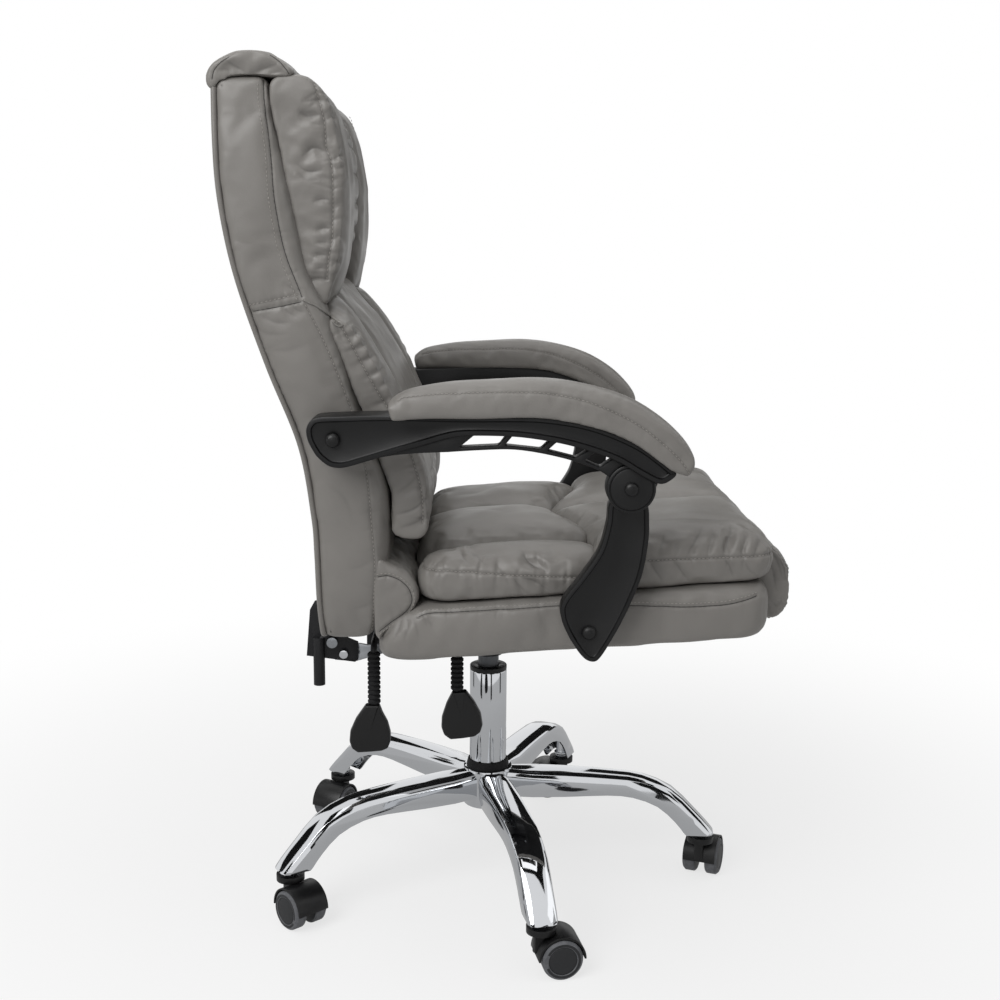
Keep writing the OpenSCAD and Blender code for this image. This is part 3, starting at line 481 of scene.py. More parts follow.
def plywood():
    """Rotary-cut plywood: long wavy figure on the face and a layer every 3 mm at the edge."""
    pale, dark = linear("#b98f62"), linear("#8a6238")
    made, tree, shader, coords = started("plywood", pale, 0.6)
    # A wave of scale 1 is pi / 10 m long, and two layers of 3 mm make one wave
    bands = 1000 / 3.0 / 20 * math.pi
    layers = add(tree, "ShaderNodeTexWave", {
        "Vector": coords, "Scale": bands, "Distortion": 2.0, "Detail": 2.0,
        "Detail Scale": 1.4}, bands_direction="Z").outputs["Fac"]
    tree.links.new(mixed(tree, layers, pale, dark), shader.inputs["Base Color"])
    bumped(tree, shader, [(layers, 0.15, 0.5)])
    return made


def rubber(name="soft_rubber", text="#1a1a1b", roughness=0.6):
    """Soft black rubber or vinyl, matt with a dusty bloom."""
    base = linear(text)
    made, tree, shader, coords = started(name, base, roughness, Specular_IOR_Level=0.2)
    clouded(tree, shader, noise(tree, coords, 7, 3), base, shaded(base, 1.5))
    bumped(tree, shader, [(noise(tree, coords, 0.8, 2), 0.05, 0.5)])
    return made


def lining():
    """Spun-bonded lining under the seat: black felt of fine crossed fibres."""
    base = linear("#19191a")
    made, tree, shader, coords = started("spun_lining", base, 0.9)
    weave = noise(tree, coords, 1.2, 4, 0.7)
    clouded(tree, shader, weave, base, shaded(base, 1.9))
    bumped(tree, shader, [(weave, 0.2, 0.8)])
    return made


def sewing_thread():
    """Bonded nylon thread a shade paler than the leather, with a slight lustre."""
    made, tree, shader, coords = started("sewing_thread", linear("#98948e"), 0.5)
    bumped(tree, shader, [(noise(tree, coords, 0.6, 2), 0.1, 0.6)])
    return made


def seam_shadow():
    """Painted shadow in the gap of a seam: a nearly black tube where the leather edge turns down into it."""
    base = linear("#2b2a28")
    made, tree, shader, coords = started("seam_edge", base, 0.7)
    bumped(tree, shader, [(noise(tree, coords, 2.0, 2), 0.1, 0.6)])
    return made


FINISHES = {
    "leather": coated_leather, "nylon": moulded_nylon, "chrome": chrome_plate,
    "painted": painted_steel, "zinc": plated_steel, "plywood": plywood, "rubber": rubber,
    "lining": lining, "thread": sewing_thread, "seam": seam_shadow,
    "steel": lambda: plated_steel("ground_steel", "#9fa2a6", 0.2),
    "grey_steel": lambda: painted_steel("grey_painted_steel", "#6f7276", 0.35),
    "tread": lambda: rubber("wheel_tread", "#5c5d60", 0.5),
    "wheel": lambda: moulded_nylon("wheel_nylon", linear("#252628"), 0.48),
}
# Materials by key, once they are made
made_finishes = {}


def finish(key):
    """The material of that key, made on first use."""
    if key not in made_finishes:
        made_finishes[key] = FINISHES[key]()
    return made_finishes[key]


def paint(obj, *keys):
    obj.data.materials.clear()
    for key in keys:
        obj.data.materials.append(finish(key))
    return obj


def placed(obj, body, key, *nodes):
    """Hangs a piece on its body and hides the nodes that it stands for; key is not used."""
    if nodes:
        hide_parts(*nodes)
    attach(obj, body)
    return obj


def finished(obj, key, body, *nodes):
    """Gives a piece one finish all over and places it."""
    return placed(paint(obj, key), body, key, *nodes)


# Hard pieces


def smooth_by_angle(mesh, degrees):
    bm = bmesh.new()
    bm.from_mesh(mesh)
    limit = math.radians(degrees)
    for face in bm.faces:
        face.smooth = True
    for edge in bm.edges:
        edge.smooth = len(edge.link_faces) == 2 and edge.calc_face_angle(math.pi) < limit
    bm.to_mesh(mesh)
    bm.free()


def dressed(node, name, key, body, edge, degrees=34):
    """A node's solid in its real finish, standing for the node, with its edges rounded by that share of
    the edge radius."""
    mesh = frame["nodes"][node].data.copy()
    mesh.name = name
    bm = bmesh.new()
    bm.from_mesh(mesh)
    bmesh.ops.remove_doubles(bm, verts=bm.verts, dist=1e-6)
    bmesh.ops.dissolve_limit(bm, angle_limit=math.radians(0.6), verts=bm.verts, edges=bm.edges)
    bm.to_mesh(mesh)
    bm.free()
    obj = link(name, mesh)
    for old in [a for a in mesh.attributes if a.name == "custom_normal"]:
        mesh.attributes.remove(old)
    width = round(edge * bpy.context.scene.chair_frame.edge, 7)
    if width:
        bevel = obj.modifiers.new("edges", "BEVEL")
        bevel.width = width
        bevel.segments = 2
        bevel.limit_method = "ANGLE"
        bevel.angle_limit = math.radians(degrees)
        bevel.use_clamp_overlap = True
        applied(obj)
    smooth_by_angle(obj.data, degrees)
    return finished(obj, key, body, node)


def turned(name, profile, x, u, z):
    """Closed form turned on an axis that runs out to the right side, from (radius, outward) pairs that
    start and end on the axis."""
    count = 96
    t = np.linspace(0, 2 * math.pi, count, endpoint=False)
    rings = [np.column_stack([np.full(count, x - h), u + r * np.cos(t), z - r * np.sin(t)])
             for r, h in profile[1:-1]]
    points = np.vstack(rings + [[[x - profile[0][1], u, z]], [[x - profile[-1][1], u, z]]])
    return mesh_object(name, points, ring_faces(len(rings), count))


# Soft pieces


def remeshed(obj, millimetres):
    voxel = obj.modifiers.new("cloth_grid", "REMESH")
    voxel.mode = "VOXEL"
    voxel.voxel_size = millimetres / 1000
    voxel.use_smooth_shade = True
    return applied(obj)


def relaxed(obj, rounds):
    """Smooths the steps of the grid without shrinking the form."""
    co = coordinates(obj)
    edges = np.empty(len(obj.data.edges) * 2, np.int32)
    obj.data.edges.foreach_get("vertices", edges)
    a, b = edges.reshape(-1, 2).T
    count = np.bincount(np.concatenate([a, b]), minlength=len(co))[:, None]
    for factor in [0.5, -0.53] * rounds:
        total = np.zeros_like(co)
        np.add.at(total, a, co[b])
        np.add.at(total, b, co[a])
        co += factor * (total / count - co)
    set_coordinates(obj, co)
    return obj


CLOTH_FRAMES = 14


def filled(obj, cap, pinned, slack, share):
    """Blows up a cover with Cloth pressure, and lets no point move more than cap millimetres."""
    start = coordinates(obj)
    modifier = obj.modifiers.new("filling", "CLOTH")
    cloth = modifier.settings
    cloth.quality = 4
    cloth.mass = 0.25
    cloth.use_pressure = True
    cloth.uniform_pressure_force = bpy.context.scene.chair_upholstery.pressure * share
    cloth.tension_stiffness = cloth.compression_stiffness = 14
    cloth.shear_stiffness = 8
    cloth.bending_stiffness = 0.4
    cloth.shrink_min = -slack
    cloth.effector_weights.gravity = 0
    modifier.collision_settings.use_collision = False
    group = obj.vertex_groups.new(name="sewn")
    for index in np.flatnonzero(pinned(chair(start))):
        group.add([int(index)], 1.0, "REPLACE")
    cloth.vertex_group_mass = "sewn"
    cloth.pin_stiffness = 1.0
    for step in range(1, CLOTH_FRAMES + 1):
        bpy.context.scene.frame_set(step)
    applied(obj)
    obj.vertex_groups.clear()
    moved = coordinates(obj) - start
    length = np.linalg.norm(moved, axis=1, keepdims=True)
    limit = cap / 1000
    set_coordinates(obj, start + moved * (limit * np.tanh(length / limit) / np.maximum(length, 1e-9)))
    bpy.context.scene.frame_set(1)
    return obj


def subdivided(obj):
    finer = obj.modifiers.new("cover", "SUBSURF")
    finer.levels = finer.render_levels = 1
    return applied(obj)


def tree_of(obj):
    bm = bmesh.new()
    bm.from_mesh(obj.data)
    found = BVHTree.FromBMesh(bm)
    bm.free()
    return found


def laid(hits):
    """Points and normals in the chair's frame from hits on a surface."""
    points = chair(np.array([h[0] for h in hits]))
    faces = np.array([[h[1].x, -h[1].y, h[1].z] for h in hits])
    return points, faces


# Distance between two points of a line that is laid on a piece
SEAM_STEP = 2.0


def on_surface(obj, line):
    """Line laid on a piece at the nearest places: points in millimetres and normals."""
    surface = tree_of(obj)
    return laid([surface.find_nearest(Vector(world(p).tolist())) for p in spaced(line, SEAM_STEP)])


def on_side(obj, line):
    """Line of (forward, up) points laid on the right side of a piece, straight from the side."""
    surface = tree_of(obj)
    hits = []
    for u, z in spaced(line, SEAM_STEP):
        start = Vector(world([-600, u, z]).tolist())
        hit = surface.ray_cast(start, Vector((1, 0, 0)))
        if hit[0] is None:
            hit = surface.find_nearest(start + Vector((0.35, 0, 0)))
        hits.append(hit)
    points, faces = laid(hits)
    # A hit at an edge can jump, so the line is evened out
    for _ in range(4):
        points[1:-1, 0] = (points[:-2, 0] + 2 * points[1:-1, 0] + points[2:, 0]) / 4
    return points, faces


def photo_ray(px, py):
    """Direction from the camera through a point of the photograph."""
    forward, right, above = camera_axes()
    scale = SENSOR / CAMERA_LENS / PHOTO_SIZE
    middle = PHOTO_SIZE / 2
    return (forward + right * ((px - middle) * scale) + above * ((middle - py) * scale)).normalized()


def photo_plane(spots, side):
    """Forward and up, in millimetres, of points of the photograph that lie that far to the side."""
    found = []
    for spot in spots:
        ray = photo_ray(*spot)
        point = Vector(CAMERA_AT) + ray * ((side / 1000 - CAMERA_AT[0]) / ray.x)
        found.append([-point.y * 1000, point.z * 1000])
    return np.array(found)


def on_photo(obj, spots):
    """Line on a piece below points of the photograph: points and normals, or nothing where it misses."""
    surface = tree_of(obj)
    hits = [surface.ray_cast(Vector(CAMERA_AT), photo_ray(px, py)) for px, py in spline(spots, 8)]
    hits = [h for h in hits if h[0] is not None]
    if len(hits) < 4:
        return None
    points, faces = laid(hits)
    jumps = np.linalg.norm(np.diff(points, axis=0), axis=1)
    if jumps.max() > 12 * np.median(jumps) + 6:
        return None
    return points, faces


def wavy(obj, height, size, seed):
    """Lets a cover lie a little unevenly, with waves about that wide."""
    rng = np.random.default_rng(seed)
    co = chair(coordinates(obj))
    n = normals(obj) * [1, -1, 1]
    total = np.zeros(len(co))
    for _ in range(14):
        way = rng.normal(size=3)
        way *= 2 * math.pi / size / np.linalg.norm(way) * rng.uniform(0.6, 1.5)
        total += np.sin(co @ way + rng.uniform(0, 2 * math.pi))
    set_coordinates(obj, world(co + n * (height * total / math.sqrt(14))[:, None]))
    return obj


def crease_shade_values(obj):
    found = obj.data.attributes.get("crease")
    if found is None:
        found = obj.data.attributes.new("crease", "FLOAT", "POINT")
    values = np.zeros(len(obj.data.vertices), np.float32)
    found.data.foreach_get("value", values)
    return found, values


def nearest_of(points):
    """Search tree that finds the nearest of these points."""
    kd = KDTree(len(points))
    for i, p in enumerate(points):
        kd.insert(p.tolist(), i)
    kd.balance()
    return kd


def close_to(path, co, limit):
    """Which points lie in the box round a path, with each one's nearest point of the path and its
    distance."""
    kd = nearest_of(path)
    low, high = path.min(0) - limit, path.max(0) + limit
    near = np.flatnonzero(np.all((co > low) & (co < high), axis=1))
    found = [kd.find(co[i].tolist()) for i in near]
    return near, np.array([f[1] for f in found], int), np.array([f[2] for f in found])


def sunk(obj, co, near, down, shade):
    """Moves some points of a cover inwards and adds to the painted shade noted on them."""
    n = normals(obj) * [1, -1, 1]
    co[near] -= n[near] * down[:, None]
    attribute, values = crease_shade_values(obj)
    values[near] = np.clip(values[near] + shade, 0, 1)
    attribute.data.foreach_set("value", values)
    set_coordinates(obj, world(co))
    return obj


def sewn(obj, line, depth, width, gather, spacing, reach, seed, mirror=False):
    """Draws a seam into a cover: a groove along the line, and small gathers that run away from it."""
    path = spaced(line, SEAM_STEP)
    if mirror:
        sewn(obj, path * [-1, 1, 1], depth, width, gather, spacing, reach, seed + 50)
    rng = np.random.default_rng(seed)
    co = chair(coordinates(obj))
    run = np.concatenate([[0], np.cumsum(np.linalg.norm(np.diff(path, axis=0), axis=1))])
    limit = max(3 * reach, 4 * width)
    near, index, away = close_to(path, co, limit)
    tangent = np.gradient(path, axis=0)
    tangent /= np.linalg.norm(tangent, axis=1, keepdims=True)
    offset = co[near] - path[index]
    along = run[index] + np.einsum("ij,ij->i", offset, tangent[index])
    ends = (along > run[0] - width) & (along < run[-1] + width)
    groove = np.exp(-(away / width) ** 2) * ends
    # Gathers: narrow valleys at uneven places along the seam, each with a soft ridge beside it
    places = np.arange(spacing / 2, run[-1], spacing)
    places = places + rng.uniform(-0.35, 0.35, len(places)) * spacing
    pull = np.zeros(len(near))
    for place in places:
        size = rng.uniform(0.35, 1.0) * gather
        wide = rng.uniform(1.8, 3.6)
        far = reach * rng.uniform(0.5, 1.3)
        lean = rng.uniform(-0.35, 0.35)
        t = along - place - lean * away
        fade = np.exp(-(away / far) ** 2) * (1 - 0.3 * np.exp(-(away / 2.0) ** 2))
        pull += size * fade * (np.exp(-(t / wide) ** 2) - 0.45 * np.exp(-(t / (2.4 * wide)) ** 2))
    pull *= ends * (away < limit)
    # Painted shade: darker along the groove and in the valleys of the gathers
    shade = np.clip(0.7 * groove ** 5, 0, 1) + np.clip(pull / max(gather, 0.1), 0, 1) * 0.18
    return sunk(obj, co, near, depth * groove + pull, shade)


# Reach of a fold's flanks and of its rounded bottom, against its width
FOLD_FLANK, FOLD_BOTTOM = 1.25, 0.7
# Height of the swelling beside it against its depth, and how far it runs on and fades against its length
FOLD_SHOULDER, FOLD_RUN_ON, FOLD_FADE = 0.3, 0.3, 0.45


def folded(obj, line, depth, width, mirror=False):
    """Presses one fold into a cover along a line, with a soft swelling on both sides of it."""
    if mirror:
        folded(obj, line * [-1, 1, 1], depth, width)
    # The fold runs on a little at both ends, where it fades out
    run = (line[-1] - line[0]) * FOLD_RUN_ON
    path = spaced(np.vstack([line[:1] - run, line, line[-1:] + run]), 1.5)
    co = chair(coordinates(obj))
    near, index, away = close_to(path, co, 6 * width)
    t = index / max(len(path) - 1, 1)
    taper = np.clip(np.minimum(t, 1 - t) / FOLD_FADE, 0, 1)
    taper = taper * taper * (3 - 2 * taper)
    wide, sharp = width * FOLD_FLANK, width * FOLD_BOTTOM
    valley = np.exp(-(np.hypot(away, sharp) - sharp) / wide)
    ridge = np.exp(-((away - 3 * wide) / (1.5 * wide)) ** 2)
    # Painted shade along the bottom of the fold
    shade = 0.55 * taper * np.exp(-(away / (0.5 * width)) ** 2) * min(1.0, depth / 3)
    return sunk(obj, co, near, depth * taper * (valley - FOLD_SHOULDER * ridge), shade)


# Rows of thread, of painted seam shadow and of piping of each body, which the sewing operator turns into
# meshes
rows = {"stitch": {}, "seam": {}, "piping": {}}


def beside(points, faces, offset):
    tangent = np.gradient(points, axis=0)
    across = np.cross(tangent, faces)
    across /= np.maximum(np.linalg.norm(across, axis=1, keepdims=True), 1e-9)
    return points + across * offset


def settled(surface, points, faces):
    """Moves points along their normals onto a surface, so that they follow its grooves."""
    found = []
    for p, n in zip(points, faces):
        start = Vector(world(p + n * 5).tolist())
        hit, _, _, _ = surface.ray_cast(start, Vector((-n[0], n[1], -n[2])), 0.014)
        found.append(p if hit is None else chair(np.array(hit)))
    return np.array(found)


def seam(line, depth, width, gather, spacing=17, reach=20, stitches=(), both=True, edge=True):
    """A seam: its line with normals, groove, gathers, how far beside it its stitches run, and whether a
    nearly black tube of painted shadow lies in its gap.
    """
    return {"line": line, "depth": depth, "width": width, "gather": gather, "spacing": spacing,
            "reach": reach, "stitches": stitches, "both": both, "edge": edge}


def refined(obj, lines):
    """Halves the grid of a cover within 8 mm of lines, so that seams and folds come out crisp."""
    kd = nearest_of(np.vstack([spaced(line, 2.5) for line in lines]))
    bm = bmesh.new()
    bm.from_mesh(obj.data)
    near = {v for v in bm.verts if kd.find(chair(np.array(v.co)).tolist())[2] < 8.0}
    edges = [e for e in bm.edges if e.verts[0] in near and e.verts[1] in near]
    bmesh.ops.subdivide_edges(bm, edges=edges, cuts=1, use_grid_fill=True)
    for face in bm.faces:
        face.smooth = True
    bm.to_mesh(obj.data)
    bm.free()
    return obj


def tailored(obj, body, seams, folds=(), mirror=False, twin=False, seed=1):
    """Sews the seams of a cover, presses its folds and notes the rows of thread. With mirror the piece
    gets them on both sides; with twin only the rows are repeated, for its twin on the other side."""
    seams = [s for s in seams if s["line"] is not None]
    pressed = []
    for spots, depth, width in folds:
        line = on_photo(obj, spots)
        if line is None:
            print("fold misses", obj.name, spots[0])
        else:
            pressed.append((line[0], depth, width))
    lines = [s["line"][0] for s in seams] + [line for line, _, _ in pressed]
    if mirror:
        lines += [line * [-1, 1, 1] for line in lines]
    if lines:
        refined(obj, lines)
    for number, s in enumerate(seams):
        sewn(obj, s["line"][0], s["depth"], s["width"], s["gather"], s["spacing"], s["reach"],
             seed + number, mirror=mirror and s["both"])
    for line, depth, width in pressed:
        folded(obj, line, depth, width, mirror)
    surface = tree_of(obj)
    for s in seams:
        points, faces = s["line"]
        noted = []
        # Row for the nearly black tube of painted shadow in the seam's gap
        if s["edge"]:
            noted.append(("seam", settled(surface, points, faces) + faces * 0.05))
        for offset in s["stitches"]:
            row = settled(surface, beside(points, faces, offset), faces)
            noted.append(("stitch", row + faces * 0.2))
        for kind, row in noted:
            rows[kind].setdefault(body, []).append(row)
            if (mirror or twin) and s["both"]:
                rows[kind][body].append(row * [-1, 1, 1])
    return obj


def cushion(name, rings, grid, cap, pinned, slack, wave, seed, share=1.0, ribbon=False):
    """Padded cover from its cut shape: gridded, filled by the cloth simulation and smoothed. Pinned
    tells which points stay; slack is the cloth's ease and wave the height of its unevenness."""
    obj = skin(name, rings, ribbon)
    remeshed(obj, grid)
    relaxed(obj, 2)
    filled(obj, cap, pinned, slack, share)
    relaxed(obj, 2)
    subdivided(obj)
    return wavy(obj, wave, 80, seed)


# How a roll is drawn in at its ends: place along its half length, and share of its outline
ROLL_ENDS = np.array([[-1, 0.94], [-0.994, 0.975], [-0.975, 0.995], [-0.93, 1], [0, 1], [0.93, 1],
                      [0.975, 0.995], [0.994, 0.975], [1, 0.94]])


def roll_rings(outline, x, half):
    """Rings of a roll along the side direction, drawn in at both ends."""
    line = even(spline(outline, 8, closed=True), 88, closed=True)
    middle = line.mean(0)
    s = np.sin(np.linspace(-1, 1, 41) * math.pi / 2)
    scale = np.interp(s, ROLL_ENDS[:, 0], ROLL_ENDS[:, 1])
    return [np.column_stack([np.full(len(line), x + half * t), middle + (line - middle) * k])
            for t, k in zip(s, scale)]


class ChairOperator(bpy.types.Operator):
    """Shared options of the chair's operators."""

    bl_options = {"REGISTER", "UNDO"}


# Seat base: height, rear and front end, and half width of each level
BASE_RINGS = [[-3.5, -118, 318, 244], [-2, -126, 324, 250], [2, -130.5, 328, 252.5],
              [9, -133, 331, 254], [17.8, -133.5, 333, 255], [33, -128, 334, 255.3],
              [47.5, -113, 334, 254], [56.8, -99, 330, 250], [61, -91, 322, 243], [61.8, -86, 314, 236]]
# Folds of the seat base as points of the photograph with depth and width
SEAT_FOLDS = [
    ([(401, 619), (398, 628), (394, 638)], 2.6, 3.5), ([(407, 619), (407, 628), (404, 640)], 2.4, 3.5),
    ([(412, 618), (416, 627), (418, 636)], 1.6, 3.5), ([(392, 628), (384, 636), (376, 643)], 2.0, 4.0),
    ([(396, 624), (386, 630), (377, 638)], 1.4, 3.5), ([(424, 616), (430, 623), (436, 628)], 0.9, 4.0),
]


class CHAIR_OT_seat_base(ChairOperator):
    """Upholstered box of the seat, with its stitched side seam."""

    bl_idname = "chair.seat_base"
    bl_label = "Seat base"

    def execute(self, context):
        rings = [np.column_stack([rounded(0, (f + r) / 2, h, (f - r) / 2, 34, 160), np.full(160, z)])
                 for z, r, f, h in BASE_RINGS]

        def held(co):
            p = untilted(co)
            return (p[:, 2] < 3) | (p[:, 2] > 58)
        obj = cushion("seat_base_cover", tilted(rings), 6, 3.0, held, 0.01, 0.5, 4)
        side = on_side(obj, spline([[-84, 431], [-71, 435], [-24, 438], [25, 441], [82, 445], [163, 446],
                                    [224, 445], [253, 446], [280, 449], [312, 457]], 12))
        tailored(obj, "seat", [seam(side, 1.3, 2.2, 0.6, 26, 14, (4.0,))], SEAT_FOLDS, True, seed=3)
        # Felt lining under the board
        paint(obj, "leather", "lining")
        co = untilted(chair(coordinates(obj)))
        for polygon in obj.data.polygons:
            if all(co[v][2] < -1.5 and abs(co[v][0]) < 225 for v in polygon.vertices):
                polygon.material_index = 1
        placed(obj, "seat", "leather", "seat_cushion")
        return {"FINISHED"}


# How a puff's side draws in, where it shows and where it meets another puff: share of the height from
# which it turns over, how far, share of the height below which it turns under, and how far
PUFF_FREE = (0.45, 24, 0.42, 13)
PUFF_JOINED = (0.66, 24, 0.01, 0)
PUFF_FOOT = 62.3


def drawn_in(share, side):
    """How far a puff's side has drawn in at a share of its height."""
    high, over, low, under = side
    top = max((share - high) / (1 - high), 0)
    foot = max((low - share) / low, 0)
    return over * (1 - math.sqrt(1 - top * top)) + under * (1 - math.sqrt(1 - foot * foot))


def bowed(points):
    """Bends the joint of the rear and front puffs: it lies further forward towards the sides."""
    p = np.array(points, float)
    reach = np.clip(1 - np.abs(p[..., 1] - 106) / 90, 0, 1)
    shift = 48 * np.clip(np.abs(p[..., 0]) / 170, 0, 1) - 22
    p[..., 1] += shift * reach * reach * (3 - 2 * reach)
    return p


def puff_rings(x, u, h, crown, corner, joins):
    """Levels of a puff on the right side; joins names its sides that meet another puff."""
    rings = []
    for share in np.concatenate([np.linspace(0, 0.9, 16), [0.94, 0.97, 0.99, 1.0]]):
        outer, inner, rear, front = (
            drawn_in(share, PUFF_JOINED if side in joins else PUFF_FREE)
            for side in ("outer", "inner", "rear", "front"))
        side_low, side_high = -x[1] + outer, -x[0] - inner
        rear_end, front_end = u[0] + rear, u[1] - front
        ring = rounded((side_low + side_high) / 2, (rear_end + front_end) / 2, (side_high - side_low) / 2,
                       (front_end - rear_end) / 2, corner, 120)
        rings.append(np.column_stack([ring, np.full(len(ring), PUFF_FOOT + h * share)]))
    top = rings[-1]
    middle = top.mean(0)
    for k in (0.86, 0.68, 0.45, 0.2):
        rings.append(middle + (top - middle) * k + [0, 0, crown * (1 - k * k)])
    return bowed(rings)


# Puffs of the seat: name, node, sides, forward distances, height, crown, corner radius, sides that meet
# another puff, and the height of the seam at its rear and front
PUFFS = [
    ("seat_front_puff_covers", "seat_front_puffs", [-2, 245], [103, 342], 62, 7, 30, ("inner", "rear"),
     (101, 94)),
    ("seat_rear_puff_covers", "seat_rear_puffs", [-2, 174], [-84, 110], 66, 7, 36,
     ("inner", "outer", "front"), (100, 100)),
    ("seat_side_puff_covers", "seat_side_puffs", [166, 248], [-80, 110], 53, 6, 32, ("inner", "front"),
     (110, 80)),
]
PUFF_FOLDS = {
    "seat_front_puffs": [
        ([(732, 524), (728, 540), (724, 556)], 4.5, 3.0), ([(724, 558), (729, 566), (733, 576)], 2.4, 2.6),
        ([(701, 529), (694, 543), (687, 556)], 3.0, 3.0), ([(747, 536), (744, 546), (741, 556)], 2.8, 2.6),
        ([(760, 541), (757, 549), (754, 557)], 2.4, 2.6), ([(714, 532), (710, 543), (707, 555)], 1.8, 2.8),
        ([(650, 562), (655, 570), (661, 579)], 2.0, 2.6), ([(674, 561), (680, 570), (688, 580)], 2.2, 2.6),
        ([(664, 534), (662, 544), (659, 553)], 1.5, 3.0), ([(745, 562), (749, 570), (756, 575)], 1.6, 2.8),
        ([(648, 520), (690, 518), (728, 520)], 1.2, 6.0)],
    "seat_rear_puffs": [
        ([(450, 512), (478, 508), (506, 511)], 0.8, 6.0), ([(430, 532), (438, 522), (450, 516)], 0.9, 5.0)],
    "seat_side_puffs": [
        ([(524, 552), (529, 561), (542, 570)], 5.0, 3.0), ([(521, 577), (534, 582), (549, 591)], 4.2, 3.0),
        ([(536, 554), (538, 563), (548, 572)], 2.4, 2.6), ([(460, 549), (463, 556), (469, 563)], 2.0, 2.4),
        ([(430, 572), (436, 564), (444, 558)], 1.4, 2.6), ([(497, 565), (504, 574), (508, 584)], 1.6, 3.0),
        ([(476, 552), (480, 559), (486, 565)], 1.2, 2.4),
        ([(512, 575), (518, 584), (526, 592)], 2.0, 2.8)],
}


class CHAIR_OT_seat_puffs(ChairOperator):
    """Six tufted puffs on top of the seat."""

    bl_idname = "chair.seat_puffs"
    bl_label = "Seat puffs"

    def execute(self, context):
        for number, (name, node, x, u, h, crown, corner, joins, height) in enumerate(PUFFS):
            def seam_at(forward, u=u, height=height):
                return np.interp(forward, u, height)

            def held(co, seam_at=seam_at):
                p = untilted(co)
                return (np.abs(p[:, 2] - seam_at(p[:, 1])) < 2.4) | (p[:, 2] < 66)
            obj = cushion(name + "_half", tilted(puff_rings(x, u, h, crown, corner, joins)), 4.5, 5.0,
                          held, 0.02, 0.6, 14 + number)
            plan = rounded(-(x[0] + x[1]) / 2, (u[0] + u[1]) / 2, (x[1] - x[0]) / 2, (u[1] - u[0]) / 2,
                           corner, 200)
            if "outer" in joins:
                seams = []
            else:
                # The seam runs round the sides that show
                plan = np.roll(plan, -int(np.argmax(plan[:, 0] - 2 * plan[:, 1])), 0)
                if "front" in joins:
                    plan = plan[(plan[:, 0] < -x[0] - 14) & (plan[:, 1] < u[1] - 8)]
                else:
                    plan = plan[(plan[:, 0] < -x[0] - 4) & (plan[:, 1] > u[0] + 8)]
                order = np.argsort(np.arctan2(plan[:, 1] - sum(u) / 2, -(plan[:, 0] + sum(x) / 2)))
                line = bowed(np.column_stack([plan[order], seam_at(plan[order][:, 1])]))
                seams = [seam(on_surface(obj, tilted(line)), 1.6, 2.4, 1.7, 21, 17, (0.0,), edge=False)]
            tailored(obj, "seat", seams, PUFF_FOLDS[node], twin=True, seed=11 + 3 * number)
            whole = joined(name, [obj, mirrored(obj, name + "_other")])
            finished(whole, "leather", "seat", node)
        return {"FINISHED"}


# Folds at the end of the front roll, as points of the photograph with depth and width
ROLL_FOLDS = [
    ([(769, 549), (777, 560), (782, 576)], 2.6, 2.8), ([(766, 556), (773, 570), (776, 588)], 2.2, 2.8),
    ([(775, 556), (783, 568), (786, 582)], 2.0, 2.6), ([(771, 600), (777, 606), (781, 600)], 1.4, 3.0),
]


class CHAIR_OT_front_roll(ChairOperator):
    """Roll that closes the front of the seat."""

    bl_idname = "chair.front_roll"
    bl_label = "Front roll"

    def execute(self, context):
        outline = [[318, 22], [318, 60], [322, 90], [342, 95], [361, 76], [367, 46], [360, 14], [338, 4]]

        def held(co):
            p = untilted(co)
            return (p[:, 1] < 328) | (np.abs(np.abs(p[:, 0]) - 197) < 2.5)
        obj = cushion("seat_front_roll_cover", tilted(roll_rings(outline, 0, 200)), 5, 3.0,
                      held, 0.02, 0.7, 22)
        end = spline([[-194, 330, 93], [-194, 344, 94], [-194, 360, 77], [-194, 366, 47], [-194, 359, 14],
                      [-194, 340, 4]], 8)
        tailored(obj, "seat", [seam(on_surface(obj, tilted(end)), 1.8, 2.6, 1.8, 14, 18, (4.0,))],
                 ROLL_FOLDS, True, seed=21)
        finished(obj, "leather", "seat", "seat_front_roll")
        return {"FINISHED"}


# Lines of the back against its height: forward distance of its rear and front, and its half width
REAR_LINE = [[-200, up(0.0)], [-204, up(0.07)], [-206, up(0.16)], [-209, up(0.226)], [-223, up(0.347)],
             [-258, up(0.481)], [-292, up(0.63)], [-309, up(0.755)], [-314, up(0.86)], [-315, up(0.95)]]
FRONT_LINE = [[-142, up(0.0)], [-126, up(0.09)], [-123, up(0.155)], [-122, up(0.258)], [-134, up(0.32)],
              [-153, up(0.404)], [-182, up(0.531)], [-193, up(0.578)], [-214, up(0.642)],
              [-223, up(0.705)], [-232, up(0.774)], [-241, up(0.845)], [-248, up(0.906)], [-252, up(0.95)]]
EDGE_LINE = [[222, up(0)], [234, up(0.02)], [240, up(0.1)], [240, up(0.35)], [238, up(0.55)],
             [230, up(0.8)], [222, up(0.9)], [218, up(0.96)]]
BACK_FOOT, BACK_CROWN = 395.0, 1043.0


def height_table(line):
    """Function that gives a line's forward or side distance at a height."""
    fine = spline(line, 12)
    order = np.argsort(fine[:, 1])
    return lambda z: np.interp(z, fine[order, 1], fine[order, 0])


rear_at, front_at, edge_at = height_table(REAR_LINE), height_table(FRONT_LINE), height_table(EDGE_LINE)


def turned_in(z, low, high, radius):
    """How far a cover has turned in at a height, near its foot and its crown."""
    near = np.clip(1 - min(z - low, high - z) / radius, 0, 1)
    return radius * (1 - math.sqrt(1 - near ** 2))


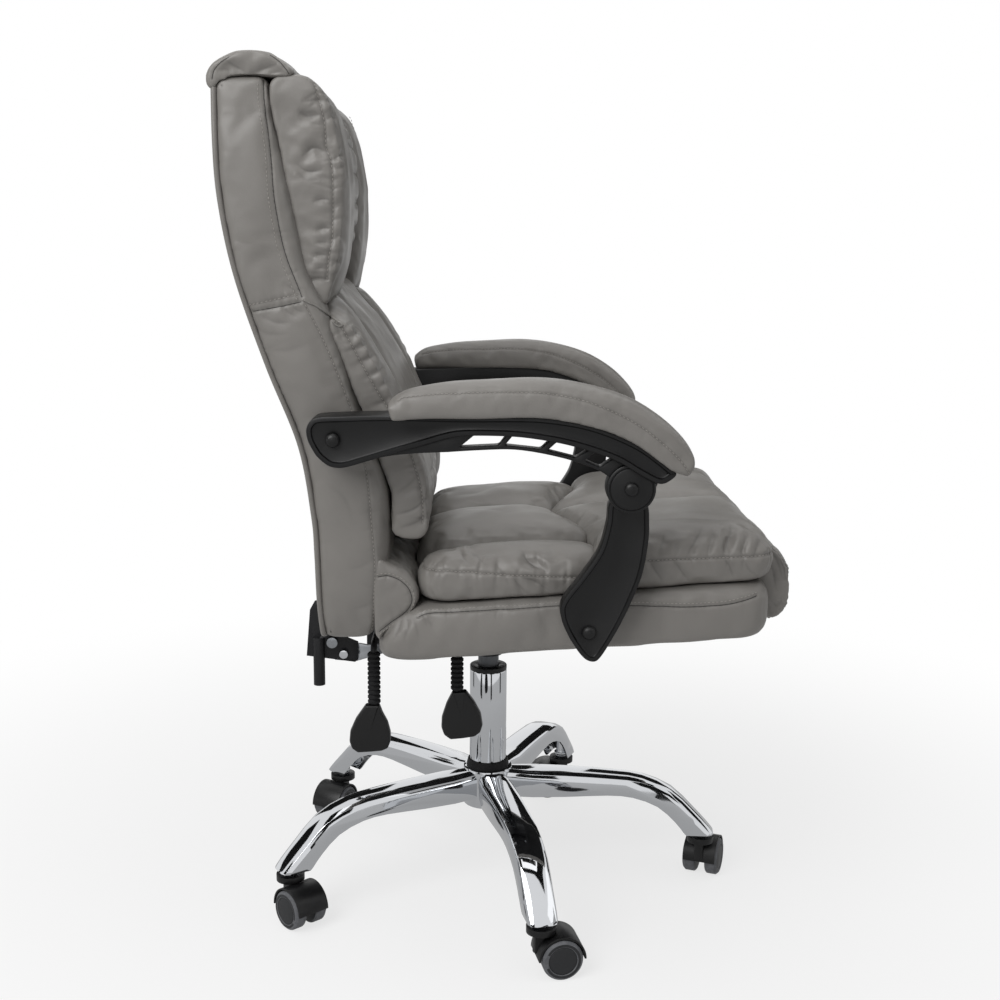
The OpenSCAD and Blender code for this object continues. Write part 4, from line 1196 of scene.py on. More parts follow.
def back_rings():
    """Level rings of the back, from 4 mm in front of its rear line to its front line."""
    rings = []
    ends = np.array([0.01, 0.6, 2, 4, 7, 10.5])
    for z in np.concatenate([BACK_FOOT + ends, np.linspace(BACK_FOOT + 15, BACK_CROWN - 15, 90),
                             BACK_CROWN - ends[::-1]]):
        d = turned_in(z, BACK_FOOT, BACK_CROWN, 12)
        rear, front, half = rear_at(z) + 4.0 + d, front_at(z) - d, edge_at(z) - 0.2 - d
        rings.append(np.column_stack([rounded(0, (rear + front) / 2, half, (front - rear) / 2, 8, 160),
                                      np.full(160, z)]))
    return rings


# Seams and folds of the right side as points of the photograph, folds also with depth and width
PANEL_SEAM = [(264, 80), (264, 97), (266.5, 117), (271, 155), (273.7, 193), (277.5, 218), (282.3, 243),
              (288, 262), (295.7, 281), (302, 297)]
CROSS_SEAMS = [[(250.5, 311.8), (277, 307), (301, 301.8)], [(247.8, 305.5), (272, 300), (297, 294.5)]]
LOWER_SEAM = [(306, 306), (321, 335), (334, 365), (346, 395), (355, 420), (362, 448), (368, 485),
              (372, 530), (375, 570), (373.6, 600), (373.3, 622), (371.5, 632)]
BACK_FOLDS = [
    ([(262, 316), (276, 322), (292, 322)], 1.6, 3.5), ([(256, 328), (270, 334), (288, 333)], 1.2, 4.0),
    ([(283, 305), (288, 312), (298, 317)], 1.8, 2.8), ([(291, 304), (297, 310), (306, 313)], 1.6, 2.6),
    ([(270, 350), (288, 350), (306, 344)], 0.9, 5.0), ([(286, 284), (293, 289), (299, 296)], 1.4, 2.6),
    ([(276, 232), (282, 240), (284, 250)], 0.9, 3.0), ([(330, 486), (345, 500), (352, 520)], 0.8, 6.0),
    ([(374, 600), (366, 606), (354, 608)], 0.9, 4.0), ([(372, 560), (362, 566), (350, 568)], 0.8, 4.0),
]


class CHAIR_OT_back_body(ChairOperator):
    """Padded body of the back with its side panels, and the panel that closes its rear."""

    bl_idname = "chair.back_body"
    bl_label = "Back body"

    def execute(self, context):
        def held(co):
            return (co[:, 1] < rear_at(co[:, 2]) + 14) | (co[:, 2] < 404) | (co[:, 2] > 1034)
        obj = cushion("back_body_cover", back_rings(), 6.0, 3.5, held, 0.01, 0.5, 34)
        welt = on_side(obj, spline([[u + 4.6, z] for u, z in REAR_LINE], 10))
        seams = [seam(welt, 0.9, 2.0, 0.4, 23, 14),
                 seam(on_photo(obj, PANEL_SEAM), 1.2, 2.0, 0.6, 25, 13, (-6.5,)),
                 seam(on_photo(obj, LOWER_SEAM), 0.8, 2.2, 0.7, 24, 14, (0.0,), edge=False),
                 seam(on_photo(obj, CROSS_SEAMS[0]), 1.3, 2.0, 0.9, 15, 14),
                 seam(on_photo(obj, CROSS_SEAMS[1]), 0.6, 2.0, 0.3, 15, 12, (0.0,), edge=False)]
        tailored(obj, "back", seams, BACK_FOLDS, True, seed=31)
        finished(obj, "leather", "back", "back_cushion")

        rings = []
        for h in np.concatenate([[398.5, 400, 403, 408], np.linspace(415, 1028, 100), [1034, 1037, 1038.5]]):
            d = turned_in(h, 398, 1039, 9)
            rings.append(np.column_stack([rounded(0, rear_at(h) + 3.2, edge_at(h) - d, 3.2, 2.8, 160),
                                          np.full(160, h)]))
        rear = skin("back_rear_cover", rings)
        row = [[-(edge_at(h) - 9), rear_at(h) - 4, h] for h in np.linspace(412, 1026, 60)]
        tailored(rear, "back", [seam(on_surface(rear, row), 0.0, 2.0, 0.0, stitches=(0.0,), edge=False)],
                 twin=True)
        finished(rear, "leather", "back", "back_rear_panel")
        return {"FINISHED"}


class CHAIR_OT_headrest(ChairOperator):
    """Cap over the top, two wings and the pillow between them."""

    bl_idname = "chair.headrest"
    bl_label = "Headrest"

    def execute(self, context):
        cap = [[-311, 1026], [-319, 1030], [-320, 1042], [-314, 1053], [-300, 1062], [-283, 1068.5],
               [-263, 1070.5], [-246, 1066], [-232, 1056], [-221, 1044], [-233, 1041], [-270, 1041.5],
               [-300, 1040], [-309, 1034]]

        def held_cap(co):
            return (co[:, 2] < up(0.958)) | (np.abs(np.abs(co[:, 0]) - 217) < 2.4)
        obj = cushion("back_top_cap_cover", roll_rings(cap, 0, 221), 4.2, 2.4, held_cap, 0.02, 0.6, 42)
        tailored(obj, "back", [seam(on_photo(obj, spots), 0.5, 1.8, 0.4, 14, 12) for spots in CAP_SEAMS],
                 CAP_FOLDS, True, seed=41)
        finished(obj, "leather", "back", "back_top_cap")

        wing = [[-249, 1034], [-241, 1041], [-221, 1043], [-205, 1039], [-191, 1024], [-181, 1002],
                [-175, 975], [-170, 950], [-168, 925], [-170, 880], [-175, 840], [-182, 815], [-189, 791],
                [-196, 789], [-207, 808], [-218, 832], [-225, 872], [-233, 919], [-241, 967], [-248, 1008]]

        def held(co):
            return (np.abs(co[:, 0] + 213) < 2.2) | (co[:, 1] < front_at(co[:, 2]) + 3)
        obj = cushion("head_wing", roll_rings(wing, -158, 60), 4, 4.5, held, 0.02, 0.8, 44)
        tailored(obj, "back", [seam(on_photo(obj, WING_SEAM), 1.6, 2.4, 1.4, 16, 18, (0.0,), edge=False)],
                 WING_FOLDS, twin=True, seed=43)
        other = mirrored(obj, "head_wing_other")
        # The filling of the left wing lies a little flatter
        co = chair(coordinates(other))
        co[:, 1] -= 0.13 * np.maximum(co[:, 1] - front_at(co[:, 2]), 0)
        set_coordinates(other, world(co))
        whole = joined("head_wing_covers", [obj, other])
        finished(whole, "leather", "back", "head_wings")

        pillow = [[-243, 1034], [-229, 1044], [-211, 1043], [-199, 1029], [-189, 1008], [-183, 976],
                  [-181, 928], [-185, 869], [-193, 842], [-204, 812], [-213, 808], [-222, 850],
                  [-230, 905], [-238, 968]]
        obj = cushion("head_pillow_cover", roll_rings(pillow, 0, 100), 4.5, 4.5,
                      lambda co: co[:, 1] < front_at(co[:, 2]) + 3, 0.02, 0.8, 46)
        lines = [on_surface(obj, [[x, -150, up(share)] for x in np.linspace(-96, 96, 24)])
                 for share in PILLOW_ROWS]
        tailored(obj, "back", [seam(line, 3.4, 5.5, 1.0, 24, 20, both=False, edge=False) for line in lines],
                 seed=47)
        finished(obj, "leather", "back", "head_pillow")
        return {"FINISHED"}


# Seams and folds of the headrest as points of the photograph, and its sewn rows as shares of the height
CAP_SEAMS = [[(212, 79), (214, 70), (221, 62), (229, 56.5)], [(270, 55), (279, 61), (286, 69), (289, 74)]]
CAP_FOLDS = [
    ([(254, 73), (263, 69), (276, 64)], 2.8, 3.0), ([(244, 71), (234, 66), (226, 60)], 2.6, 3.0),
    ([(268, 74), (276, 72), (284, 71)], 1.8, 2.6), ([(232, 71), (225, 69), (218, 70)], 1.6, 2.6),
]
WING_SEAM = [(315, 84), (318.7, 99), (324.4, 122), (326.3, 147), (331, 160.6), (333, 185.5), (333, 212),
             (332, 239), (328.5, 260), (327, 279)]
WING_FOLDS = [
    ([(300, 112), (308, 116), (319, 114)], 3.0, 3.2), ([(305, 101), (314, 100), (323, 99)], 2.4, 2.8),
    ([(304, 155), (313, 148), (325, 151)], 4.2, 3.2), ([(299, 165), (307, 171), (321, 170)], 3.0, 2.8),
    ([(298, 172), (308, 180), (322, 178)], 1.8, 3.2), ([(332, 161), (338, 156), (343, 155)], 2.8, 2.6),
    ([(333, 166), (339, 168), (344, 166)], 1.8, 2.4), ([(314, 201), (322, 199), (331, 200)], 2.6, 2.6),
    ([(317, 230), (324, 228), (331, 229)], 2.4, 2.4), ([(316, 243), (323, 242), (331, 243)], 2.6, 2.4),
    ([(314, 256), (321, 255), (329, 256)], 2.6, 2.4), ([(315, 269), (321, 268), (328, 269)], 2.2, 2.4),
    ([(306, 282), (316, 279), (330, 279)], 3.0, 3.0), ([(333, 240), (338, 236), (342, 237)], 1.8, 2.4),
    ([(330, 268), (335, 263), (340, 262)], 1.8, 2.4), ([(333, 211), (338, 206), (343, 206)], 1.4, 2.4),
    ([(324, 122), (330, 117), (336, 118)], 1.8, 2.4), ([(312, 122), (318, 124), (324, 124)], 1.6, 2.4),
]
PILLOW_ROWS = [0.925, 0.876, 0.82, 0.763, 0.705, 0.661]

# Rear of the centre pad and the bolsters, from the top down
PAD_REAR = [[-188.2, up(0.555)], [-177.2, up(0.51)], [-163.2, up(0.455)], [-147.2, up(0.395)],
            [-128.2, up(0.31)], [-116.2, up(0.258)], [-116.2, up(0.2)]]


class CHAIR_OT_back_pads(ChairOperator):
    """Centre pad and side bolsters of the middle back, and the lumbar roll below them."""

    bl_idname = "chair.back_pads"
    bl_label = "Back pads"

    def execute(self, context):
        # The top runs up under the pillow
        centre = [[-207, 814]] + PAD_REAR + [
            [-104, up(0.155)], [-88, up(0.165)], [-76, up(0.22)], [-76, up(0.275)], [-98, up(0.38)],
            [-127, up(0.47)], [-157, up(0.54)], [-182, up(0.582)], [-194, 808], [-199, 815]]
        levels = [up(0.36), up(0.26)]

        def held(co):
            rear = co[:, 1] < front_at(co[:, 2]) + 5
            return rear | (np.abs(co[:, 2] - levels[0]) < 2.6) | (np.abs(co[:, 2] - levels[1]) < 2.6)
        obj = cushion("back_centre_pad_cover", roll_rings(centre, 0, 130), 5, 4.5, held, 0.012,
                      0.6, 50)
        lines = [on_surface(obj, [[x, -70, z] for x in np.linspace(-120, 120, 30)]) for z in levels]
        tailored(obj, "back", [seam(line, 2.4, 4.5, 1.1, 24, 22, both=False, edge=False) for line in lines],
                 seed=51)
        finished(obj, "leather", "back", "back_centre_pad")

        bolster = PAD_REAR + [[-113, 522], [-97, 518], [-80, 520], [-75, 532], [-74, 562], [-79, 602],
                              [-101, 655], [-127, 712], [-153, 756], [-174, 774]]

        def held_bolster(co):
            return (np.abs(co[:, 0] + 221) < 2.2) | (co[:, 1] < front_at(co[:, 2]) + 4)
        rings = np.array(roll_rings(bolster, -178, 49))
        # The inner part of the top runs up to the tip of the wing
        lifted = np.clip((rings[..., 0] + 218) / 45, 0, 1) * np.clip((rings[..., 2] - 725) / 48, 0, 1)
        rings[..., 1:] += lifted[..., None] * [-17, 26]
        obj = cushion("back_bolster", rings, 4, 4.0, held_bolster, 0.012, 0.6, 56)
        tailored(obj, "back", [seam(on_photo(obj, BOLSTER_SEAM), 1.5, 2.4, 1.2, 16, 17, (0.0,), edge=False)],
                 BOLSTER_FOLDS, twin=True, seed=55)
        tie = np.vstack([spline(TIE, 6), spline(TIE_LOOP, 6)])
        over = [tree_of(obj), tree_of(bpy.data.objects["back_body_cover"])]
        hits = []
        for spot in tie:
            found = [surface.ray_cast(Vector(CAMERA_AT), photo_ray(*spot)) for surface in over]
            found = [hit for hit in found if hit[0] is not None]
            if found:
                hits.append(min(found, key=lambda hit: hit[3]))
        points, faces = laid(hits)
        row = points + faces * 0.9
        rows["piping"]["back"] = [row, row * [-1, 1, 1]]
        whole = joined("back_bolster_covers", [obj, mirrored(obj, "back_bolster_other")])
        finished(whole, "leather", "back", "back_side_bolsters")

        lumbar = [[-135, 403], [-124, 409], [-109, 420], [-95, 432], [-87, 444], [-85, 456], [-90, 471],
                  [-102, 484], [-118, 491], [-136, 493]]

        def held_lumbar(co):
            return (co[:, 1] < front_at(co[:, 2]) + 3) | (np.abs(np.abs(co[:, 0]) - 237) < 2.2)
        obj = cushion("lumbar_roll_cover", roll_rings(lumbar, 0, 241), 4.5, 2.5, held_lumbar, 0.02, 0.6, 58)
        tailored(obj, "back", [seam(on_photo(obj, LUMBAR_SEAM), 1.2, 2.2, 0.9, 17, 14, (3.0,))],
                 LUMBAR_FOLDS, True, seed=57)
        finished(obj, "leather", "back", "lumbar_roll")
        return {"FINISHED"}


# Seams and folds of the bolster and the lumbar roll as points of the photograph, with the tie that
# closes the side panel above the bolster and its loop
BOLSTER_SEAM = [(337, 322), (343, 330), (352, 346), (364, 368), (377, 391), (391, 414), (407, 445),
                (417, 474), (423, 500), (423, 522)]
TIE = [(303, 300), (308, 302.5), (315, 305.5), (324, 312), (333, 318.5), (341, 323)]
TIE_LOOP = [(341, 323), (342.5, 325.5), (339, 326.5), (335, 324.5), (332, 321)]
LUMBAR_SEAM = [(378, 577), (388, 576), (399, 580), (408, 588), (412, 598), (410.5, 606), (405, 613),
               (392, 622), (379, 632)]
LUMBAR_FOLDS = [
    ([(392, 548), (398, 558), (402, 568)], 1.2, 3.0), ([(404, 552), (408, 562), (409, 572)], 1.0, 3.0),
]
BOLSTER_FOLDS = [
    ([(344, 336), (352, 336), (359, 331)], 1.8, 2.6), ([(351, 349), (359, 348), (367, 343)], 1.8, 2.6),
    ([(360, 361), (368, 359), (375, 354)], 1.6, 2.6), ([(370, 375), (377, 372), (384, 366)], 1.4, 2.6),
    ([(379, 387), (386, 383), (391, 378)], 1.2, 2.6), ([(396, 514), (412, 510), (428, 499)], 3.0, 3.4),
    ([(402, 527), (416, 523), (428, 514)], 2.6, 3.4), ([(398, 492), (410, 484), (418, 474)], 1.6, 4.0),
    ([(334, 322), (338, 330), (342, 340)], 2.0, 2.6),
]

# Top of the arm's rail in front of its rear end, measured from the arm's joint
RAIL_CREST = [[-310, 76], [-266, 77.5], [-134, 80.5], [-87, 78.5], [-40, 69.5], [8, 49.5], [45, 22.5],
              [51, 17.5]]
RAIL_TOP = spline(np.array([[-352, 74]] + RAIL_CREST) + ARM, 8)


def rail_top_at(u):
    return np.interp(u, RAIL_TOP[:, 0], RAIL_TOP[:, 1])


class CHAIR_OT_arm_pads(ChairOperator):
    """Padded armrests, with a seam along each side and a stitched row above it."""

    bl_idname = "chair.arm_pads"
    bl_label = "Arm pads"

    def execute(self, context):
        bottom = [[u, rail_top_at(u) - 1.5]
                  for u in ARM[0] + np.array([-264, -214, -154, -94, -44, 6, 44])]
        top = np.array([[-268, 93], [-252, 104], [-225, 110], [-182, 115], [-106, 118.5], [-51, 112.5],
                        [-3, 97.5], [34, 75.5], [59, 51.5], [69, 29.5], [62, 14]]) + ARM
        # Lower and upper line run from the rear to the front, so that each ring is a bent ribbon
        low, high = even(spline(bottom, 8), 110), even(spline(top, 8), 110)
        line = np.vstack([low, high[::-1]])
        middle = line.mean(0)
        stations = np.array([[-1, 0.44], [-0.985, 0.58], [-0.93, 0.76], [-0.75, 0.92], [-0.4, 0.99], [0, 1],
                             [0.4, 0.99], [0.75, 0.92], [0.93, 0.76], [0.985, 0.58], [1, 0.44]])
        s = np.sin(np.linspace(-1, 1, 35) * math.pi / 2)
        foot = np.concatenate([low[:, 1], low[::-1, 1]])
        rings = []
        for t, k in zip(s, np.interp(s, stations[:, 0], stations[:, 1])):
            u = middle[0] + (line[:, 0] - middle[0]) * (0.965 + 0.035 * k)
            rings.append(np.column_stack([np.full(len(line), -300 + 31 * t), u,
                                          foot + (line[:, 1] - foot) * k]))

        def held(co):
            return co[:, 2] < rail_top_at(co[:, 1]) + 4
        obj = cushion("arm_pad", rings, 4, 2.2, held, 0.01, 0.4, 63, share=0.7, ribbon=True)
        path = spline([[-331, -104, 700], [-331, -60, 704], [-331, 19, 705], [-331, 66, 702],
                       [-331, 113, 690], [-331, 160, 667], [-331, 197, 638], [-326, 214, 618]], 10)
        lines = [on_surface(obj, path), on_surface(obj, path + [62, 0, 0])]
        tailored(obj, "arm_right", [seam(line, 0.7, 2.2, 0.3, 24, 12, (0.0,), edge=False) for line in lines],
                 ARM_PAD_FOLDS, seed=61)
        paint(obj, "leather")
        rows["stitch"]["arm_left"] = [row * [-1, 1, 1] for row in rows["stitch"]["arm_right"]]
        left = mirrored(obj, "arm_pad_left_cover")
        obj.name = "arm_pad_right_cover"
        for piece, side in ((obj, "right"), (left, "left")):
            placed(piece, "arm_" + side, "leather", "arm_pad_" + side)
        return {"FINISHED"}


# Folds of the arm pads as points of the photograph
ARM_PAD_FOLDS = [
    ([(676, 440), (684, 448), (690, 458)], 0.8, 3.0), ([(392, 398), (396, 406), (396, 413)], 0.8, 3.0),
]

# Outer and inner face of the arm's rail in plan: forward distance, and distance to the side
PLAN_OUT = spline([[-216, 288], [-170, 292], [-110, 296], [-40, 317], [30, 323], [220, 323]], 8)
PLAN_IN = spline([[-216, 246.5], [-120, 249], [-40, 269], [30, 277], [220, 277]], 8)


def plan_out(u):
    return np.interp(u, PLAN_OUT[:, 0], PLAN_OUT[:, 1])


def plan_in(u):
    return np.interp(u, PLAN_IN[:, 0], PLAN_IN[:, 1])


def turned_left(line):
    """The line with its inside at the left of its run."""
    p = np.asarray(line, float)
    q = np.roll(p, -1, 0)
    area = (p[:, 0] * q[:, 1] - q[:, 0] * p[:, 1]).sum()
    return p if area > 0 else p[::-1]


def inset(line, distance):
    """Closed line moved towards its left."""
    along = np.roll(line, -1, 0) - np.roll(line, 1, 0)
    across = np.stack([-along[:, 1], along[:, 0]], -1)
    return line + across / np.linalg.norm(across, axis=1, keepdims=True) * distance


def softened(line, step, rounds):
    """Closed line of even steps with its corners rounded."""
    p = np.asarray(line, float)
    length = np.linalg.norm(np.roll(p, -1, 0) - p, axis=1).sum()
    p = even(p, int(length / step), closed=True)
    for _ in range(rounds):
        p = (np.roll(p, 1, 0) + 2 * p + np.roll(p, -1, 0)) / 4
    return p


def inside(points, loop):
    """Which points lie inside a closed line."""
    x, y = points[:, 0:1], points[:, 1:2]
    a, b = loop, np.roll(loop, -1, 0)
    crosses = (a[:, 1] > y) != (b[:, 1] > y)
    slope = (b[:, 0] - a[:, 0]) / np.where(b[:, 1] == a[:, 1], 1e-12, b[:, 1] - a[:, 1])
    return (crosses & (x < slope * (y - a[:, 1]) + a[:, 0])).sum(1) % 2 == 1


def filled_between(loops):
    """Triangles of the area inside the first closed line and outside the others."""
    points = np.vstack(loops)
    edges, start = [], 0
    for loop in loops:
        n = len(loop)
        edges += [(start + i, start + (i + 1) % n) for i in range(n)]
        start += n
    made = delaunay_2d_cdt([Vector(p) for p in points.tolist()], edges, [], 0, 1e-5)
    index = [origin[0] if origin else -1 for origin in made[3]]
    faces = [[index[v] for v in face] for face in made[2]]
    faces = [f for f in faces if len(f) == 3 and min(f) >= 0]
    middle = points[np.array(faces)].mean(1)
    keep = inside(middle, loops[0])
    for hole in loops[1:]:
        keep &= ~inside(middle, hole)
    return [f for f, k in zip(faces, keep) if k]


def plate(name, outline, holes, x_out, x_in, edge, rim=0.0, recess=0.0):
    """Moulded plate on the right side: outline and holes as forward and up, x_out and x_in as functions
    that give the distance of its two faces from the middle of the chair, edges rounded by that much
    and, where rim is given, a panel sunk into the outer face inside a raised rim."""
    loops = [turned_left(outline)] + [turned_left(h)[::-1] for h in holes]
    points, faces = [], []

    def ring(line, side, depth):
        start = sum(len(p) for p in points)
        x = x_out(line[:, 0]) - depth if side > 0 else x_in(line[:, 0]) + depth
        points.append(np.column_stack([-x, line]))
        return list(range(start, start + len(line)))

    def strip(a, b):
        n = len(a)
        faces.extend([(a[i], a[(i + 1) % n], b[(i + 1) % n], b[i]) for i in range(n)])

    def cover(lines, indices):
        flat = [i for ring_indices in indices for i in ring_indices]
        faces.extend([tuple(flat[v] for v in f) for f in filled_between(lines)])

    fronts, backs = [], []
    for loop in loops:
        chain = [ring(inset(loop, edge), -1, 0), ring(inset(loop, edge * 0.3), -1, edge * 0.3),
                 ring(loop, -1, edge), ring(loop, 1, edge), ring(inset(loop, edge * 0.3), 1, edge * 0.3),
                 ring(inset(loop, edge), 1, 0)]
        for a, b in zip(chain, chain[1:]):
            strip(a, b)
        backs.append((inset(loop, edge), chain[0]))
        fronts.append((inset(loop, edge), chain[-1]))
    if rim:
        first = loops[0]
        steps = [(rim, 0.0), (rim + 0.5, 0.25 * recess), (rim + 1.2, 0.85 * recess), (rim + 2.0, recess)]
        chain = [fronts[0][1]] + [ring(inset(first, d), 1, h) for d, h in steps]
        for a, b in zip(chain, chain[1:]):
            strip(a, b)
        fronts[0] = (inset(first, steps[-1][0]), chain[-1])
    cover([f[0] for f in fronts], [f[1] for f in fronts])
    cover([b[0] for b in backs], [b[1] for b in backs])
    obj = mesh_object(name, np.vstack(points), faces)
    smooth_by_angle(obj.data, 40)
    return obj


# Lower edge of the rail, lower edge of the truss, and the rail's rear end, measured from the arm's joint
RAIL_LOW = [[-337, 19], [-322, 17], [-300, 23], [-265, 34], [-230, 45.5], [-205, 54], [-185, 58],
            [-144, 58.5], [-110, 56], [-66, 48], [-20, 33], [8, 17], [31, 6], [43, 11]]
CHORD_LOW = [[-323, 17.5], [-277, 29.5], [-230, 36.5], [-163, 41.5], [-122, 41.5], [-74, 32.5],
             [-38, 20.5], [-22, 10]]
PLATE_END = [[-350, 30], [-359, 46], [-361.5, 58], [-360, 65]]
# Windows of the truss: rear and front ends along the foot, rear and front ends along the head
WINDOWS = [[-190, -146, -173, -138], [-140, -100, -131, -90], [-93, -61, -82, -47], [-52, -34, -40, -20]]
# Pivot disc as radius and distance outwards: its rim, a groove and its cap
DISC_PROFILE = [(0, 0), (26.3, 0), (27.5, 1.2), (27.5, 25.6), (27, 27.2), (25.6, 28), (24.6, 28),
                (24.2, 27), (23.4, 27), (23.0, 28.4), (21.6, 29), (0, 29)]
# Outline of the strut, measured from its lower joint
STRUT_OUTLINE = [[18, 128], [10, 97], [-8, 68], [-30, 38], [-33, 20], [-24, -4], [-8, -28], [4, -35],
                 [14, -29], [34, 6], [50, 42], [60, 72], [65, 106], [65.5, 128], [62, 152], [41, 172],
                 [21, 152]]


def arm_moulding():
    """Arm frame of the right side: rail and rear plate, truss below it and the pivot disc."""
    rail_top = spline([[-356, 70], [-348, 74]] + RAIL_CREST, 8)
    rail_low = spline(RAIL_LOW, 8)
    outline = softened(np.vstack([rail_top, rail_low[::-1], PLATE_END]) + ARM, 2.5, 5)
    rail = plate("arm_rail", outline, [], plan_out, plan_in, 1.8, 5.2, 3.0)

    chord = spline(CHORD_LOW, 8)
    truss = np.vstack([chord, [[-12, -2], [0, -22], [22, -16], [30, 6]],
                       (rail_low + [0, 5])[::-1][6:-12], [[-300, 30]]]) + ARM
    holes = []
    for foot_rear, foot_front, head_rear, head_front in WINDOWS:
        foot = [[u, np.interp(u, chord[:, 0], chord[:, 1]) + 4.4] for u in (foot_rear, foot_front)]
        head = [[u, np.interp(u, rail_low[:, 0], rail_low[:, 1]) - 0.2] for u in (head_front, head_rear)]
        holes.append(softened(np.array(foot + head) + ARM, 1.2, 4))
    web = plate("arm_web", softened(truss, 2.5, 2), holes, lambda u: np.minimum(plan_out(u) - 4, 311),
                lambda u: np.minimum(plan_out(u) - 22, 290), 1.3)
    disc = turned("arm_disc", DISC_PROFILE, -290, *ARM)
    smooth_by_angle(disc.data, 40)
    return joined("arm_moulding", [rail, web, disc])


class CHAIR_OT_arm_frames(ChairOperator):
    """Moulded arm frames, struts and their pivot bolts."""

    bl_idname = "chair.arm_frames"
    bl_label = "Arm frames"

    def execute(self, context):
        frame_right = arm_moulding()
        outline = softened(spline(np.array(STRUT_OUTLINE) + STRUT, 8, closed=True), 2.2, 1)
        strut_right = plate("arm_strut", outline, [], lambda u: u * 0 + 288, lambda u: u * 0 + 264,
                            1.8, 4.6, 3.0)
        for side in ("left", "right"):
            for part, body, made in (("frame", "arm", frame_right), ("strut", "strut", strut_right)):
                obj = made if side == "right" else mirrored(made, f"arm_{part}_left_moulding")
                obj.name = f"arm_{part}_{side}_moulding"
                finished(obj, "nylon", f"{body}_{side}", f"arm_{part}_{side}")
            dressed("arm_pivot_" + side, f"arm_pivot_{side}_cap", "nylon", "arm_" + side, 0.5)
        dressed("strut_bolts", "strut_bolt_caps", "nylon", "seat", 0.5)
        return {"FINISHED"}


# Turns of the column's flutes
FLUTES = np.radians([4, 45, 86, 126, 167, 207, 248, 288, 327])


def fluted_column():
    """Chromed column tube with its pressed flutes above the collar."""
    t = np.linspace(0, 2 * math.pi, 240, endpoint=False)
    away = np.min(np.abs((t[:, None] - FLUTES - math.pi) % (2 * math.pi) - math.pi), axis=1)
    valley = np.exp(-(np.degrees(away) / 2.6) ** 2)
    outer = [(h, 25.0) for h in np.concatenate([np.linspace(112, 215, 26), [288.6]])]
    outer += [(289.6, 24.6), (290, 24)]
    inner = [(290, 15.5), (289, 15), (240, 15), (112, 15)]
    rings = []
    for h, r in outer + inner:
        # A flute starts narrow and shallow, and is deepest at the collar
        start = np.clip((205 - h) / 45, 0, 1) if r > 24.9 else 0
        radius = r - 1.5 * start * valley
        rings.append(np.column_stack([radius * np.cos(t), radius * np.sin(t), np.full(len(t), h)]))
    m, n = len(rings), len(t)
    faces = ring_faces(m, n, ends=False)
    faces += [((m - 1) * n + i, (m - 1) * n + (i + 1) % n, (i + 1) % n, i) for i in range(n)]
    obj = mesh_object("column_shell", np.vstack(rings), faces)
    smooth_by_angle(obj.data, 30)
    return obj


def pebble(name, outline, x_low, x_high):
    """Flat grip with a softly rounded edge from its outline as forward and up."""
    loop = turned_left(softened(outline, 1.0, 3))
    thick = x_high - x_low
    rings = []
    for share in np.linspace(0, 1, 13):
        turn = math.pi * share
        inward = 3.4 * (1 - math.sin(turn) ** 0.8) + 0.01
        x = x_low + thick * (0.5 - 0.5 * math.cos(turn))
        rings.append(np.column_stack([np.full(len(loop), x), inset(loop, inward)]))
    obj = skin(name, rings)
    smooth_by_angle(obj.data, 50)
    return obj


class CHAIR_OT_base(ChairOperator):
    """Chromed star base, column and collar."""

    bl_idname = "chair.base"
    bl_label = "Base and column"

    def execute(self, context):
        dressed("star_base", "star_base_shell", "chrome", "base", 0.8, 25)
        finished(fluted_column(), "chrome", "base", "column_tube")
        dressed("column_collar", "column_collar_ring", "rubber", "base", 0.8)
        dressed("column_bush", "column_bush_ring", "nylon", "base", 0.8)
        dressed("caster_stems", "caster_stem_pins", "steel", "base", 0.4)
        return {"FINISHED"}


class CHAIR_OT_casters(ChairOperator):
    """Five twin-wheel casters."""

    bl_idname = "chair.casters"
    bl_label = "Casters"

    def execute(self, context):
        for i in range(1, 6):
            dressed(f"caster_hood_{i}", f"caster_{i}_fork", "nylon", f"caster_{i}", 1.2)
            for part in ("outer", "inner"):
                obj = dressed(f"wheel_{i}_{part}", f"caster_{i}_{part}_wheel", "wheel",
                              f"wheel_{i}_{part}", 0.7)
                tread_of(obj)
        return {"FINISHED"}


TREAD_RADIUS = 0.0176


def tread_of(obj):
    """Gives the outer band of a wheel its softer tread."""
    obj.data.materials.append(finish("tread"))
    co = coordinates(obj)
    centre = (co.min(0) + co.max(0)) / 2
    values, vectors = np.linalg.eigh(np.cov((co - centre).T))
    # The axle is the direction in which the wheel is thinnest
    axle = vectors[:, int(np.argmin(values))]
    for polygon in obj.data.polygons:
        d = np.array(polygon.center) - centre
        radial = d - axle * (d @ axle)
        if np.linalg.norm(radial) > TREAD_RADIUS:
            polygon.material_index = 1


# Nodes that keep their own solid: finish of each
KEPT = {
    "piston_rod": "steel", "lift_cylinder": "grey_steel", "valve_button": "steel",
    "mechanism_housing": "painted", "mechanism_screws": "zinc", "hinge_arms": "zinc",
    "seat_board": "plywood", "back_board": "plywood", "back_brackets": "painted", "hinge_pins": "chrome",
    "hinge_spacers": "steel", "back_bolts": "nylon", "lift_lever": "painted", "lock_lever": "painted",
}


# Outlines of the two lever grips as points of the photograph
PADDLES = {
    "lock": [(366, 703.5), (356, 717.5), (350.4, 730), (349.5, 740.5), (352, 747.5), (358, 751.7), (370, 751),
             (382, 750), (388, 747.5), (391, 740), (390.8, 731), (388, 721), (383, 712), (379.7, 703.5)],
    "lift": [(452.5, 690.5), (446.5, 702), (441.8, 716), (441.3, 726.5), (444, 734), (450.5, 738.6),
             (463, 737.5), (474.7, 735.7), (480.5, 731.5), (482.8, 724), (481, 712.4), (474.7, 701),
             (466, 689.5)],
}


